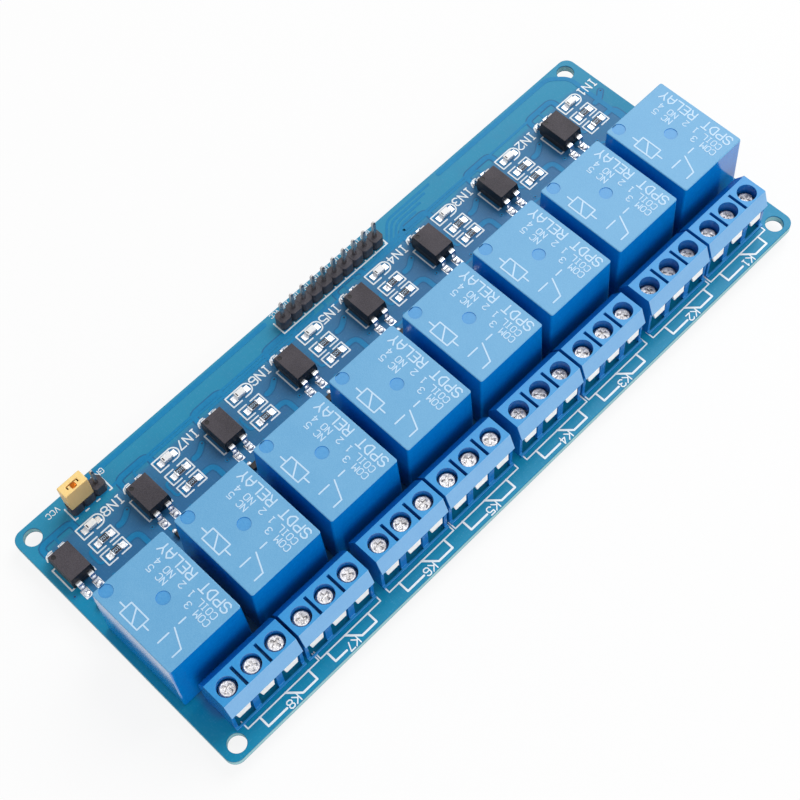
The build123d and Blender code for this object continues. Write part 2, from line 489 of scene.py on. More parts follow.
@dataclass(frozen=True)
class Laminate(Finish):
    """Sawn glass-fibre laminate, seen at the board's edge between its two coats of mask."""

    core: Colour
    coat: Colour
    middle: float
    thickness: float

    def dress(self, graph: Graph) -> bpy.types.Material:
        """Builds pale layers between thin coats of mask.

        Args:
            graph: The empty tree.

        Returns:
            The material.
        """
        place = graph.millimetres()
        height = graph.axes(place)[2]
        fibres = graph.noise(graph.stretch(place, (0.6, 0.6, 9.0)), 0.5, 3.0)
        dust = graph.noise(place, 0.3, 2.0)
        edge = abs(height - self.middle).ease(self.thickness * 0.24, self.thickness * 0.46)
        base = graph.blend(self.core, self.coat, edge + (fibres - 0.5) * 0.5)
        rough = (dust - 0.5) * 0.3 + 0.62
        return graph.surface(
            {"Base Color": base, "Roughness": rough, "Normal": graph.bump(fibres + dust, 0.03)}
        )


@dataclass(frozen=True)
class MarkingInk(Finish):
    """Screened ink, thin and a little broken."""

    colour: Colour
    ground: Colour
    thin: float = 0.25

    def dress(self, graph: Graph) -> bpy.types.Material:
        """Builds ink that lets a little of the ground show.

        Args:
            graph: The empty tree.

        Returns:
            The material.
        """
        place = graph.millimetres()
        specks = graph.noise(place, 0.16, 3.0)
        patches = graph.noise(place, 1.8)
        wear = specks.ease(0.56, 0.76) * 0.7 + patches.ease(0.5, 0.8) * 0.3
        base = graph.blend(self.colour, self.ground, wear * self.thin)
        rough = (specks - 0.5) * 0.2 + 0.5
        return graph.surface(
            {"Base Color": base, "Roughness": rough, "Normal": graph.bump(specks, 0.012)}
        )


@dataclass(frozen=True)
class Lens(Finish):
    """Milky diffusing resin of a small indicator."""

    colour: Colour
    heart: Colour

    def dress(self, graph: Graph) -> bpy.types.Material:
        """Builds milky resin with a faint warm heart.

        Args:
            graph: The empty tree.

        Returns:
            The material.
        """
        place = graph.millimetres()
        cloud = graph.noise(place, 0.7, 2.0)
        base = graph.blend(self.colour, self.heart, cloud.ease(0.45, 0.7) * 0.5)
        rough = (cloud - 0.5) * 0.2 + 0.28
        return graph.surface(
            {
                "Base Color": base,
                "Roughness": rough,
                "Subsurface Weight": 0.1,
                "Subsurface Radius": (0.0006, 0.0006, 0.0006),
                "Subsurface Scale": 1.0,
                "Normal": graph.bump(cloud, 0.02),
            }
        )


@dataclass(frozen=True)
class Backdrop(Finish):
    """Pale paper floor that reads white to the camera and keeps a soft shadow."""

    colour: Colour
    lift: float

    def dress(self, graph: Graph) -> bpy.types.Material:
        """Mixes lit paper with plain white for rays from the camera.

        Args:
            graph: The empty tree.

        Returns:
            The material.
        """
        paper = graph.node("ShaderNodeBsdfDiffuse", inputs={"Color": self.colour})
        white = graph.node("ShaderNodeEmission", inputs={"Color": WHITE, "Strength": 1.0})
        share = graph.seen() * self.lift
        return graph.end(graph.node("ShaderNodeMixShader", inputs={0: share, 1: paper, 2: white}))


class Facing(Enum):
    """Which faces of a form take a finish."""

    UP = "up"
    BROW = "brow"
    LEVEL = "level"

    def takes(self, face: bmesh.types.BMFace) -> bool:
        """Says whether a face looks that way.

        Args:
            face: The face.

        Returns:
            True if it does.
        """
        normal = face.normal
        if self is Facing.UP:
            return normal.z > UPWARD
        if self is Facing.BROW:
            return normal.y < BROW_FRONT and BROW_UPWARD < normal.z < UPWARD
        return abs(normal.z) > UPWARD


class Edges(Enum):
    """Which edges of a form are rounded."""

    SHARP = "sharp"
    UPRIGHT = "upright"
    TOP_RIM = "top rim"

    def takes(self, edge: bmesh.types.BMEdge) -> bool:
        """Says whether an edge is one of these.

        Args:
            edge: The edge.

        Returns:
            True if it is.
        """
        if self is Edges.UPRIGHT:
            return abs(edge.verts[0].co.z - edge.verts[1].co.z) > 1.0
        if self is Edges.TOP_RIM:
            return any(face.normal.z > 0.9 for face in edge.link_faces)
        return True


class Form:
    """A small solid shaped by bmesh operators, in millimetres, before it joins a piece."""

    def __init__(self) -> None:
        """Starts with no geometry."""
        self.bm = bmesh.new()

    @classmethod
    def box(cls, low: Place, high: Place) -> "Form":
        """Makes a block between two corners.

        Args:
            low: Lowest corner.
            high: Highest corner.

        Returns:
            The block.
        """
        form = cls()
        size = Vector(high) - Vector(low)
        middle = (Vector(high) + Vector(low)) / 2
        matrix = Matrix.Translation(middle) @ Matrix.Diagonal((*size, 1.0))
        bmesh.ops.create_cube(form.bm, size=1.0, matrix=matrix)
        return form

    @classmethod
    def slab(cls, half_x: float, half_y: float, low: float, high: float) -> "Form":
        """Makes a block centred on the Z axis between two heights."""
        return cls.box((-half_x, -half_y, low), (half_x, half_y, high))

    @classmethod
    def node(cls, name: str) -> "Form":
        """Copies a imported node, merged and with its flat faces joined.

        Args:
            name: The node.

        Returns:
            The copy.
        """
        form = cls()
        form.bm.from_mesh(bpy.data.objects[name].data)
        bmesh.ops.scale(form.bm, vec=(1 / MM,) * 3, verts=form.bm.verts)
        bmesh.ops.remove_doubles(form.bm, verts=form.bm.verts, dist=0.002)
        bmesh.ops.dissolve_limit(
            form.bm, angle_limit=math.radians(1.0), verts=form.bm.verts, edges=form.bm.edges
        )
        return form

    @classmethod
    def turned(cls, profile: Sequence[Point], steps: int) -> "Form":
        """Spins a profile about Z.

        Args:
            profile: Radius and height of each point, from axis to axis.
            steps: Faces in one turn.

        Returns:
            The closed solid.
        """
        form = cls()
        verts = [form.bm.verts.new((radius, 0.0, height)) for radius, height in profile]
        edges = [form.bm.edges.new(pair) for pair in zip(verts, verts[1:])]
        bmesh.ops.spin(
            form.bm,
            geom=verts + edges,
            cent=(0, 0, 0),
            axis=(0, 0, 1),
            angle=2 * math.pi,
            steps=steps,
            use_merge=True,
        )
        return form.tidy()

    @classmethod
    def strip(cls, path: Sequence[Point], width: float, thickness: float) -> "Form":
        """Bends a flat strip along a path.

        Args:
            path: Y and Z of each point along the strip's middle.
            width: Width along X.
            thickness: Thickness of the metal.

        Returns:
            The closed strip.
        """
        form = cls()
        verts = [form.bm.verts.new((-width / 2, y, z)) for y, z in path]
        edges = [form.bm.edges.new(pair) for pair in zip(verts, verts[1:])]
        made = bmesh.ops.extrude_edge_only(form.bm, edges=edges)["geom"]
        far = [item for item in made if isinstance(item, bmesh.types.BMVert)]
        bmesh.ops.translate(form.bm, vec=(width, 0, 0), verts=far)
        bmesh.ops.recalc_face_normals(form.bm, faces=form.bm.faces)
        bmesh.ops.solidify(form.bm, geom=list(form.bm.faces), thickness=thickness)
        return form.tidy()

    def tidy(self) -> "Form":
        """Merges doubles and turns the faces outwards.

        Returns:
            The same form.
        """
        bmesh.ops.remove_doubles(self.bm, verts=self.bm.verts, dist=0.0005)
        bmesh.ops.recalc_face_normals(self.bm, faces=self.bm.faces)
        return self

    def taper(self, height: float, along: float, across: float) -> "Form":
        """Draws the points at one height towards the Z axis.

        Args:
            height: Height of the points that move.
            along: Scale along X.
            across: Scale along Y.

        Returns:
            The same form.
        """
        ring = [v for v in self.bm.verts if abs(v.co.z - height) < CLOSE]
        bmesh.ops.scale(self.bm, vec=(along, across, 1.0), verts=ring)
        return self

    def waist(self, height: float) -> "Form":
        """Cuts a ring of edges round the form.

        Args:
            height: Height of the ring.

        Returns:
            The same form.
        """
        geometry = list(self.bm.verts) + list(self.bm.edges) + list(self.bm.faces)
        bmesh.ops.bisect_plane(
            self.bm, geom=geometry, dist=0.0001, plane_co=(0, 0, height), plane_no=(0, 0, 1)
        )
        return self

    def soften(
        self,
        width: float,
        segments: int = 2,
        edges: Edges = Edges.SHARP,
        sharper_than: float = 25.0,
    ) -> "Form":
        """Rounds sharp edges.

        Args:
            width: Width of the rounding.
            segments: Faces across it.
            edges: Which edges.
            sharper_than: Angle in degrees above which an edge is sharp.

        Returns:
            The same form.
        """
        self.bm.normal_update()
        limit = math.radians(sharper_than)
        chosen = [
            edge
            for edge in self.bm.edges
            if len(edge.link_faces) == 2 and edge.calc_face_angle(0.0) > limit and edges.takes(edge)
        ]
        bmesh.ops.bevel(
            self.bm,
            geom=chosen,
            offset=width,
            offset_type="OFFSET",
            segments=segments,
            profile=0.5,
            affect="EDGES",
            material=-1,
            clamp_overlap=True,
        )
        return self

    def split(self) -> "Form":
        """Cuts faces with many corners into triangles.

        Returns:
            The same form.
        """
        many = [face for face in self.bm.faces if len(face.verts) > 4]
        bmesh.ops.triangulate(self.bm, faces=many, quad_method="BEAUTY", ngon_method="BEAUTY")
        return self

    def dimple(
        self, centres: Sequence[Point], radius: float, depth: float, finish: int, steps: int = 24
    ) -> "Form":
        """Sinks round marks into the highest flat face.

        Args:
            centres: X and Y of each mark.
            radius: Radius of a mark.
            depth: Depth of a mark.
            finish: Number of the finish on the mark's floor.
            steps: Sides of the round.

        Returns:
            The same form.
        """
        top = max(self.bm.faces, key=lambda f: (round(f.calc_center_median().z, 3), f.calc_area()))
        level = top.calc_center_median().z
        outline = list(top.edges)
        bmesh.ops.delete(self.bm, geom=[top], context="FACES_ONLY")
        rings = [self.circle(radius, shift(x, y, level), steps) for x, y in centres]
        self.fill(outline + [edge for ring in rings for edge in ring])
        for ring in rings:
            self.sink(ring, (0, 0, -depth), 0.97, finish)
        return self.tidy()

    def circle(self, radius: float, place: Matrix, steps: int) -> Ring:
        """Adds a bare circle.

        Args:
            radius: Its radius.
            place: Its middle.
            steps: Sides of the round.

        Returns:
            Its edges.
        """
        made = bmesh.ops.create_circle(
            self.bm, cap_ends=False, segments=steps, radius=radius, matrix=place
        )
        return list({edge for vert in made["verts"] for edge in vert.link_edges})

    def fill(self, edges: Ring) -> None:
        """Fills the level space between closed rings of edges.

        Args:
            edges: The edges of all the rings.
        """
        bmesh.ops.triangle_fill(
            self.bm, use_beauty=True, use_dissolve=False, edges=edges, normal=(0, 0, 1)
        )

    def draw(self, ring: Ring, step: Place, scale: float) -> Ring:
        """Extrudes a closed ring of edges, moves it and scales it about its middle.

        Args:
            ring: The edges.
            step: How far the new ring moves.
            scale: Its scale in plan.

        Returns:
            The new ring.
        """
        made = bmesh.ops.extrude_edge_only(self.bm, edges=ring)["geom"]
        verts = [item for item in made if isinstance(item, bmesh.types.BMVert)]
        middle = sum((v.co for v in verts), Vector()) / len(verts)
        space = Matrix.Translation(-middle)
        bmesh.ops.scale(self.bm, vec=(scale, scale, 1.0), verts=verts, space=space)
        bmesh.ops.translate(self.bm, vec=step, verts=verts)
        edges = [item for item in made if isinstance(item, bmesh.types.BMEdge)]
        return [edge for edge in edges if all(vert in verts for vert in edge.verts)]

    def sink(self, ring: Ring, step: Place, scale: float, finish: int) -> "Form":
        """Draws a closed ring of edges to a floor and fills the floor.

        Args:
            ring: The edges.
            step: How far the floor is from the ring.
            scale: Scale of the floor in plan.
            finish: Number of the finish on the floor.

        Returns:
            The same form.
        """
        for face in bmesh.ops.edgeloop_fill(self.bm, edges=self.draw(ring, step, scale))["faces"]:
            face.material_index = finish
        return self

    def paint(self, finish: int, facing: Facing | None = None) -> "Form":
        """Gives faces a finish.

        Args:
            finish: Number of the finish in the piece.
            facing: Which faces, or all of them.

        Returns:
            The same form.
        """
        for face in self.bm.faces:
            face.normal_update()
            if facing is None or facing.takes(face):
                face.material_index = finish
        return self

    def crown(self, mark: int, slope: float) -> "Form":
        """Parts a moulding's top in finish 0 from its sides in finish 1.

        Args:
            mark: Finish of the sunk marks, which keep it.
            slope: Upward part of a normal above which a face belongs to the top.

        Returns:
            The same form.
        """
        for face in self.bm.faces:
            if face.material_index != mark:
                face.material_index = 0 if face.normal.z > slope else 1
        return self


# Stroke letters on a grid 4 wide and 6 high: runs of points, each point its X and Y digit.
STROKES = {
    " ": "",
    "0": "103041453616050110",
    "1": "152620 1030",
    "2": "05163645440040",
    "3": "0516364544334241301001 2333",
    "4": "30360242",
    "5": "460604344341301001",
    "6": "4536160501103041423303",
    "7": "064610",
    "8": "1304051636454433130201103041423313",
    "A": "0004264440 0242",
    "C": "4536160501103041",
    "D": "00062644422000",
    "E": "46060040 0333",
    "G": "45361605011030414323",
    "I": "1030 2026 1636",
    "K": "0006 4602 1340",
    "L": "060040",
    "M": "0006234640",
    "N": "00064046",
    "O": "103041453616050110",
    "P": "00063645443303",
    "R": "00063645443303 2340",
    "S": "453616050413334241301001",
    "T": "0646 2026",
    "V": "062046",
    "Y": "062346 2320",
}


def lettering(text: str, height: float, gap: float = 1.5) -> list[list[Point]]:
    """Gives the strokes of a line of capitals, centred on the origin.

    Args:
        text: The letters.
        height: Height of a capital.
        gap: Space between two letters, in sixths of the height.

    Returns:
        The points of each stroke.
    """
    unit = height / 6
    left = -(len(text) * (4 + gap) - gap) / 2
    strokes: list[list[Point]] = []
    for index, letter in enumerate(text):
        for run in STROKES[letter].split():
            digits = zip(run[::2], run[1::2])
            start = left + index * (4 + gap)
            strokes.append([((start + int(x)) * unit, (int(y) - 3) * unit) for x, y in digits])
    return strokes


class Piece:
    """One named mesh of the scene with its finishes, gathered from forms."""

    def __init__(self, name: str, *finishes: Finish) -> None:
        """Starts an empty piece.

        Args:
            name: Name of the mesh.
            finishes: Its finishes in order.
        """
        self.name = name
        self.finishes = finishes
        self.bm = bmesh.new()
        self.laid = 0

    def add(self, form: Form, places: Iterable[Matrix] = (Matrix.Identity(4),)) -> "Piece":
        """Copies a form into the piece at each place.

        Args:
            form: The form.
            places: Where its copies go.

        Returns:
            The same piece.
        """
        mesh = bpy.data.meshes.new("form")
        form.bm.to_mesh(mesh)
        for matrix in places:
            copy = mesh.copy()
            copy.transform(matrix)
            self.bm.from_mesh(copy)
            bpy.data.meshes.remove(copy)
        bpy.data.meshes.remove(mesh)
        return self

    def level(self) -> float:
        """Gives each part of a line a height of its own, so that no two tops lie in one plane."""
        self.laid += 1
        return (self.laid * LEVEL_STEP % 1.0) * LEVEL_SPREAD

    def stroke(
        self, points: Sequence[Point], width: float, low: float, high: float, finish: int = 0
    ) -> "Piece":
        """Lays a thin line with round joints and ends.

        Args:
            points: X and Y along the line.
            width: Width of the line.
            low: Height of its seat.
            high: Height of its face, above or below the seat.
            finish: Number of its finish.

        Returns:
            The same piece.
        """
        side = 1 if high > low else -1
        form = Form()
        for start, end in zip(points, points[1:]):
            run, middle = Vector(end) - Vector(start), (Vector(end) + Vector(start)) / 2
            face = high + side * self.level()
            angle = math.degrees(math.atan2(run.y, run.x))
            size = Matrix.Diagonal((run.length, width, abs(face - low), 1.0))
            matrix = shift(middle.x, middle.y, (low + face) / 2, angle) @ size
            bmesh.ops.create_cube(form.bm, size=1.0, matrix=matrix)
        for x, y in points:
            face = high + side * self.level()
            bmesh.ops.create_cone(
                form.bm,
                cap_ends=True,
                cap_tris=False,
                segments=LINE_SIDES,
                radius1=width / 2,
                radius2=width / 2,
                depth=abs(face - low),
                matrix=shift(x, y, (low + face) / 2),
            )
        return self.add(form.paint(finish))

    def write(
        self, text: str, place: Matrix, height: float, low: float, high: float, finish: int = 0
    ) -> "Piece":
        """Writes a line of stroke letters.

        Args:
            text: The letters.
            place: Where their middle goes, and their turn.
            height: Height of a capital.
            low: Height of their seat.
            high: Height of their face.
            finish: Number of their finish.

        Returns:
            The same piece.
        """
        for run in lettering(text, height):
            self.stroke(moved(run, place), height * LETTER_LINE, low, high, finish)
        return self

    def place(self, body: str, slot: str, replaces: Sequence[str] = ()) -> None:
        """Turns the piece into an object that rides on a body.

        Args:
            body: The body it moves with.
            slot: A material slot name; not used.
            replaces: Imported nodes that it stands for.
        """
        mesh = bpy.data.meshes.new(self.name)
        self.bm.to_mesh(mesh)
        self.bm.free()
        mesh.transform(Matrix.Scale(MM, 4))
        for finish in self.finishes:
            mesh.materials.append(finish.material())
        broad = BROAD_FACE * MM * MM
        smooth = [face.area < broad and abs(face.normal.z) < LEVEL_FACE for face in mesh.polygons]
        mesh.set_sharp_from_angle(angle=SHARP_ANGLE)
        mesh.polygons.foreach_set("use_smooth", smooth)
        made = bpy.data.objects.new(self.name, mesh)
        bpy.context.scene.collection.objects.link(made)
        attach(made, body)
        if replaces:
            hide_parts(*replaces)
        LOG.info("%s: %d faces on %s", self.name, len(mesh.polygons), body)


def span(node: str) -> tuple[Vector, Vector]:
    """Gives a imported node's lowest and highest corners in millimetres."""
    low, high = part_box(node)
    return low / MM, high / MM


def middle_of(node: str) -> Vector:
    """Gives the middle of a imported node's box in millimetres."""
    low, high = span(node)
    return (low + high) / 2


def foot_of(node: str, turn: float = 0.0) -> Matrix:
    """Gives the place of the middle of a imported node's foot, turned by degrees."""
    low, high = span(node)
    return shift((low.x + high.x) / 2, (low.y + high.y) / 2, low.z, turn)


# Relay tops are matte spark-eroded plastic, and their colour is painted paler than the sides as
# painted light from above.
RELAY_TOP_PAINTED_LIGHT = Moulding("relay_top_painted_light", tint(92, 161, 207), tint(126, 185, 223), 0.42, 0.16, 0.02)
RELAY_SIDE = Moulding("relay_side", tint(0, 118, 200), tint(10, 140, 220), 0.12, 0.5, 0.004)
RELAY_MARK = Moulding("relay_mark", tint(62, 146, 206), tint(88, 166, 220), 0.36, 0.3, 0.008)
RELAY_INK = MarkingInk("relay_ink", tint(194, 222, 244), tint(120, 184, 226), 0.7)
# Terminal blocks: one plastic in three tones by facing. The sloped brow is painted paler as painted
# light, and the walls are painted darker as painted shade.
BLOCK_TOP = Moulding("block_top", tint(26, 140, 206), tint(58, 166, 222), 0.4, 0.18, 0.015)
BLOCK_BROW_PAINTED_LIGHT = Moulding("block_brow_painted_light", tint(112, 172, 224), tint(144, 196, 236), 0.42, 0.18, 0.015)
BLOCK_WALL_PAINTED_SHADE = Moulding("block_wall_painted_shade", tint(8, 102, 182), tint(34, 132, 208), 0.2, 0.25, 0.01)
EPOXY_TOP = Moulding("epoxy_top", tint(48, 44, 50), tint(104, 98, 104), 0.55, 0.13, 0.03, 0.2, 0.3)
EPOXY_SIDE = Moulding("epoxy_side", tint(22, 20, 22), tint(46, 42, 44), 0.4, 0.2, 0.012, 0.12, 0.35)
HEADER_NYLON = Moulding(
    "header_nylon", tint(52, 50, 56), tint(98, 94, 102), 0.42, 0.2, 0.02, 0.2, 0.35
)
# Jumper cap: one nylon in two tones. The top is painted paler than the sides as painted light from
# above.
CAP_TOP_PAINTED_LIGHT = Moulding("cap_top_painted_light", tint(255, 216, 132), tint(255, 230, 168), 0.42, 0.2, 0.012)
CAP_SIDE = Moulding("cap_side", tint(255, 206, 122), tint(255, 218, 152), 0.36, 0.2, 0.012)
CERAMIC = Moulding("chip_ceramic", tint(232, 232, 228), tint(248, 248, 246), 0.45, 0.12, 0.01)
GLAZE = Moulding("chip_glaze", tint(44, 40, 42), tint(84, 78, 80), 0.32, 0.15, 0.01, 0.12, 0.35)
LED_RESIN = Lens("led_resin", tint(255, 255, 254), tint(254, 254, 246))
SCREW_PLATE = Plating("screw_plate", tint(208, 206, 206), tint(126, 120, 116), 0.34, relief=0.18)
LEAF_PLATE = Plating("leaf_plate", tint(255, 253, 250), tint(240, 234, 230), 0.6, (0.5, 3.0, 0.5))
LEAD_TIN = Plating("lead_plate", tint(222, 224, 228), tint(126, 128, 136), 0.24, (3.0, 0.6, 0.6))
PIN_TIN = Plating("pin_tin", tint(186, 183, 182), tint(98, 95, 96), 0.3, (3.0, 3.0, 0.4))
CLIP_BRASS = Plating("brass_plate", tint(176, 92, 26), tint(104, 48, 10), 0.4)
SOLDER = Plating("solder_tin", tint(230, 232, 236), tint(150, 152, 162), 0.36, relief=0.05)
TRACE_MASK = Moulding(
    "trace_mask", tint(8, 128, 182), tint(32, 144, 194), 0.36, 0.6, 0.006, 0.2, 0.22
)
GAP_MASK = Moulding(
    "gap_mask", tint(30, 104, 152), tint(42, 116, 164), 0.36, 0.6, 0.006, 0.2, 0.22
)
WHITE_INK = MarkingInk("white_ink", tint(242, 249, 252), tint(140, 196, 222), 0.3)
# Dark disc on each via, painted shade that stands for the hole.
VIA_HOLE_SHADE = Moulding("via_hole_shade", tint(16, 44, 74), tint(30, 66, 100), 0.6, 0.2, 0.01)
PAPER = Backdrop("paper", (0.9, 0.9, 0.9, 1.0), 0.86)


@dataclass
class Layout:
    """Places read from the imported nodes, in millimetres."""

    board_low: Vector
    board_high: Vector
    relay_xs: list[float]
    relay_y: float
    block_xs: list[float]
    screw_y: float
    pole_pitch: float
    opto_shift: float
    opto_y: float
    chip_shift: float
    chip_rows: tuple[float, float]
    led_y: float
    driver_y: float

    @classmethod
    def read(cls) -> "Layout":
        """Reads the frame.

        Returns:
            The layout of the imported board.
        """
        low, high = span("circuit_board")
        relay_xs = [middle_of(f"relay_{k}").x for k in CHANNELS]
        centre = sum(relay_xs) / len(relay_xs)
        chips = span("chip_resistors")
        return cls(
            board_low=low,
            board_high=high,
            relay_xs=relay_xs,
            relay_y=middle_of("relay_1").y,
            block_xs=[middle_of(f"terminal_housing_{k}").x for k in CHANNELS],
            screw_y=middle_of("terminal_screw_1b").y,
            pole_pitch=abs(middle_of("terminal_screw_1a").x - middle_of("terminal_screw_1b").x),
            opto_shift=middle_of("optocoupler_bodies").x - centre,
            opto_y=middle_of("optocoupler_bodies").y,
            chip_shift=middle_of("chip_resistors").x - centre,
            chip_rows=(chips[0].y + CHIP_HALF, chips[1].y - CHIP_HALF),
            led_y=middle_of("indicator_leds").y,
            driver_y=middle_of("driver_transistors").y,
        )

    @property
    def top(self) -> float:
        """Height of the board's upper face."""
        return self.board_high.z

    @property
    def bottom(self) -> float:
        """Height of the board's lower face."""
        return self.board_low.z

    def pin_places(self, which: str) -> list[Point]:
        """Gives the middle of each pin of a header.

        Args:
            which: The header.

        Returns:
            X and Y of each pin, from the lowest X.
        """
        low, high = span(f"{which}_header_pins")
        count = HEADER_PINS[which]
        pitch = (high.x - low.x - PIN_SIDE) / (count - 1)
        return [(low.x + PIN_SIDE / 2 + i * pitch, (low.y + high.y) / 2) for i in range(count)]


def rounded(corners: Sequence[Point], radius: float) -> list[Point]:
    """Rounds the bends of a flat route.

    Args:
        corners: The route's corners.
        radius: How far a bend starts from its corner.

    Returns:
        Points along the rounded route.
    """
    route = [corners[0]]
    for before, corner, after in zip(corners, corners[1:], corners[2:]):
        here = Vector(corner)
        back, ahead = Vector(before) - here, Vector(after) - here
        start = here + back.normalized() * min(radius, back.length / 2)
        end = here + ahead.normalized() * min(radius, ahead.length / 2)
        for share in (0.0, 0.25, 0.5, 0.75, 1.0):
            point = start.lerp(here, share).lerp(here.lerp(end, share), share)
            if (point - Vector(route[-1])).length > CLOSE:
                route.append((point.x, point.y))
    return [*route, corners[-1]]


@dataclass
class BareBoard:
    """The laminate, its masked copper runs and its vias."""

    layout: Layout
    edge_round: float = 0.1
    trace_width: float = 0.5
    loop_width: float = 0.95
    power_width: float = 1.6
    trace_height: float = 0.03
    gap_width: float = 0.24
    gap_height: float = 0.008
    clear_strip: float = 20.6
    lane_first: float = 22.75
    lane_step: float = 0.62
    lane_end: float = 24.0
    bend: float = 1.3
    opto_foot: float = 4.4
    opto_loop: tuple[Point, ...] = ((-1.6, 20.9), (-1.6, 22.9), (5.0, 22.9), (5.0, 20.9))
    side_loop: tuple[Point, ...] = ((5.4, 16.4), (6.6, 16.4), (8.3, 17.6))
    vias: tuple[Point, ...] = ((6.9, 5.0), (8.3, 17.6), (-0.9, 10.2), (-8.0, 12.0))
    fan_lanes: int = 4
    fan_foot: float = 21.9
    edge_inset: float = 0.95
    corner_inset: float = 6.5
    power_bend: float = 2.4

    def build(self) -> None:
        """Builds the laminate and what is etched on it."""
        self.laminate()
        self.traces()

    def laminate(self) -> None:
        """Builds the board with coated faces and sawn edges."""
        low, high = self.layout.board_low, self.layout.board_high
        inner, outer = tint(46, 112, 160), tint(0, 136, 176)
        mask = SolderMask("solder_mask", inner, outer, high.x, self.clear_strip)
        middle, thickness = (low.z + high.z) / 2, high.z - low.z
        sawn = Laminate("sawn_edge", tint(150, 200, 204), tint(12, 100, 146), middle, thickness)
        form = Form.node("circuit_board").soften(self.edge_round, 2)
        form.paint(1).paint(0, Facing.LEVEL)
        piece = Piece("laminate", mask, sawn).add(form)
        piece.place(BOARD, "board", ["circuit_board"])

    def input_route(self, pin_x: float, channel: int) -> list[Point]:
        """Routes one input from its header pin to its optocoupler.

        Args:
            pin_x: The header pin.
            channel: Channel number from 1 to 8.

        Returns:
            The corners of the route.
        """
        target = self.layout.relay_xs[channel - 1] + self.layout.opto_shift + PITCH / 2
        nest = min(channel - 1, len(CHANNELS) - channel)
        lane = self.lane_first - nest * self.lane_step
        foot = self.layout.opto_y + self.opto_foot
        return [(pin_x, self.lane_end), (pin_x, lane), (target, lane), (target, foot)]

    def channel_loops(self, relay_x: float) -> list[list[Point]]:
        """Gives the wide looped runs round one channel's input parts.

        Args:
            relay_x: Middle of the channel's relay.

        Returns:
            The corners of each run.
        """
        opto_x, low_row = relay_x + self.layout.opto_shift, self.layout.chip_rows[0]
        return [
            [(opto_x + x, y) for x, y in self.opto_loop],
            [(relay_x + 4.2, low_row), (relay_x + 6.9, low_row), (relay_x + 6.9, 5.2)],
            [(relay_x + x, y) for x, y in self.side_loop],
        ]

    def channel_runs(self, relay_x: float) -> list[list[Point]]:
        """Gives the narrow runs between one channel's driver parts.

        Args:
            relay_x: Middle of the channel's relay.

        Returns:
            The corners of each run.
        """
        opto_x, y = relay_x + self.layout.opto_shift, self.layout.driver_y
        front = self.layout.opto_y - self.opto_foot
        left, right, leg = opto_x - PITCH / 2, opto_x + PITCH / 2, opto_x - 0.95
        chip, turn = relay_x + self.layout.chip_shift - 1.7, relay_x - 1.3
        low_row, high_row = self.layout.chip_rows
        return [
            [(left, front), (left, y + 2.0), (leg, y + 1.4), (leg, y)],
            [(right, front), (right, y + 1.9), (relay_x - 0.6, y + 1.9), (relay_x + 0.7, y + 0.6)],
            [(chip, high_row), (turn, high_row), (turn, low_row), (chip, low_row)],
        ]

    def fan(self, lane: int) -> list[Point]:
        """Gives one of the nested runs that swing round the end of the input header.

        Args:
            lane: Number of the run from 0, the outermost.

        Returns:
            The corners of the run.
        """
        start, level, end = 14.4 + 1.2 * lane, 26.6 - 0.85 * lane, 30.0 - 2.0 * lane
        foot = self.fan_foot
        return [(start, foot), (start + level - foot, level), (end, level)]

    def run(self, piece: Piece, route: Sequence[Point], width: float) -> None:
        """Lays one masked run on the upper face, a wide one with a darker gap along each side.

        Args:
            piece: The piece it joins.
            route: Points along it.
            width: Width of the copper.
        """
        top = self.layout.top
        if width > self.trace_width:
            piece.stroke(route, width + 2 * self.gap_width, top - SEAT, top + self.gap_height, 2)
        piece.stroke(route, width, top - SEAT, top + self.trace_height)

    def traces(self) -> None:
        """Builds the masked copper runs on both faces and the vias."""
        piece = Piece("copper_runs", TRACE_MASK, VIA_HOLE_SHADE, GAP_MASK)
        pins, top = self.layout.pin_places("input"), self.layout.top
        vias: list[Matrix] = []
        for channel in CHANNELS:
            relay_x = self.layout.relay_xs[channel - 1]
            pin_x = pins[len(CHANNELS) + 1 - channel][0]
            for route in [self.input_route(pin_x, channel), *self.channel_runs(relay_x)]:
                self.run(piece, rounded(route, self.bend / 2), self.trace_width)
            for route in self.channel_loops(relay_x):
                self.run(piece, rounded(route, self.bend), self.loop_width)
            vias += [shift(relay_x + x, y, top) for x, y in self.vias]
        for route in self.supply_runs():
            piece.stroke(route, self.loop_width, top - SEAT, top + self.trace_height)
        for lane in range(self.fan_lanes):
            self.run(piece, rounded(self.fan(lane), self.bend), self.trace_width)
        rim = [(0, 0), (0.36, 0), (0.36, 0.06), (0.22, 0.07), (0.18, 0.06), (0, 0.06)]
        # Each via is a rim with a dark disc on top, painted shade that stands for its hole.
        painted_bore_shade = [(0, 0.03), (0.18, 0.03), (0.18, 0.066), (0, 0.066)]
        piece.add(Form.turned(rim, 12), vias).add(Form.turned(painted_bore_shade, 10).paint(1), vias)
        self.underside(piece)
        piece.place(BOARD, "board")

    def supply_runs(self) -> list[list[Point]]:
        """Gives the supply runs along the header edge.

        Returns:
            The points along each run.
        """
        supply = self.layout.board_high.y - self.edge_inset
        left = self.layout.board_low.x + self.corner_inset
        right = self.layout.board_high.x - self.corner_inset
        edge = [(33.0, supply), (right, supply), (right + 3, supply - 3), (right + 3, 9.0)]
        return [[(left + 10, supply), (-11.5, supply)], rounded(edge, self.bend)]

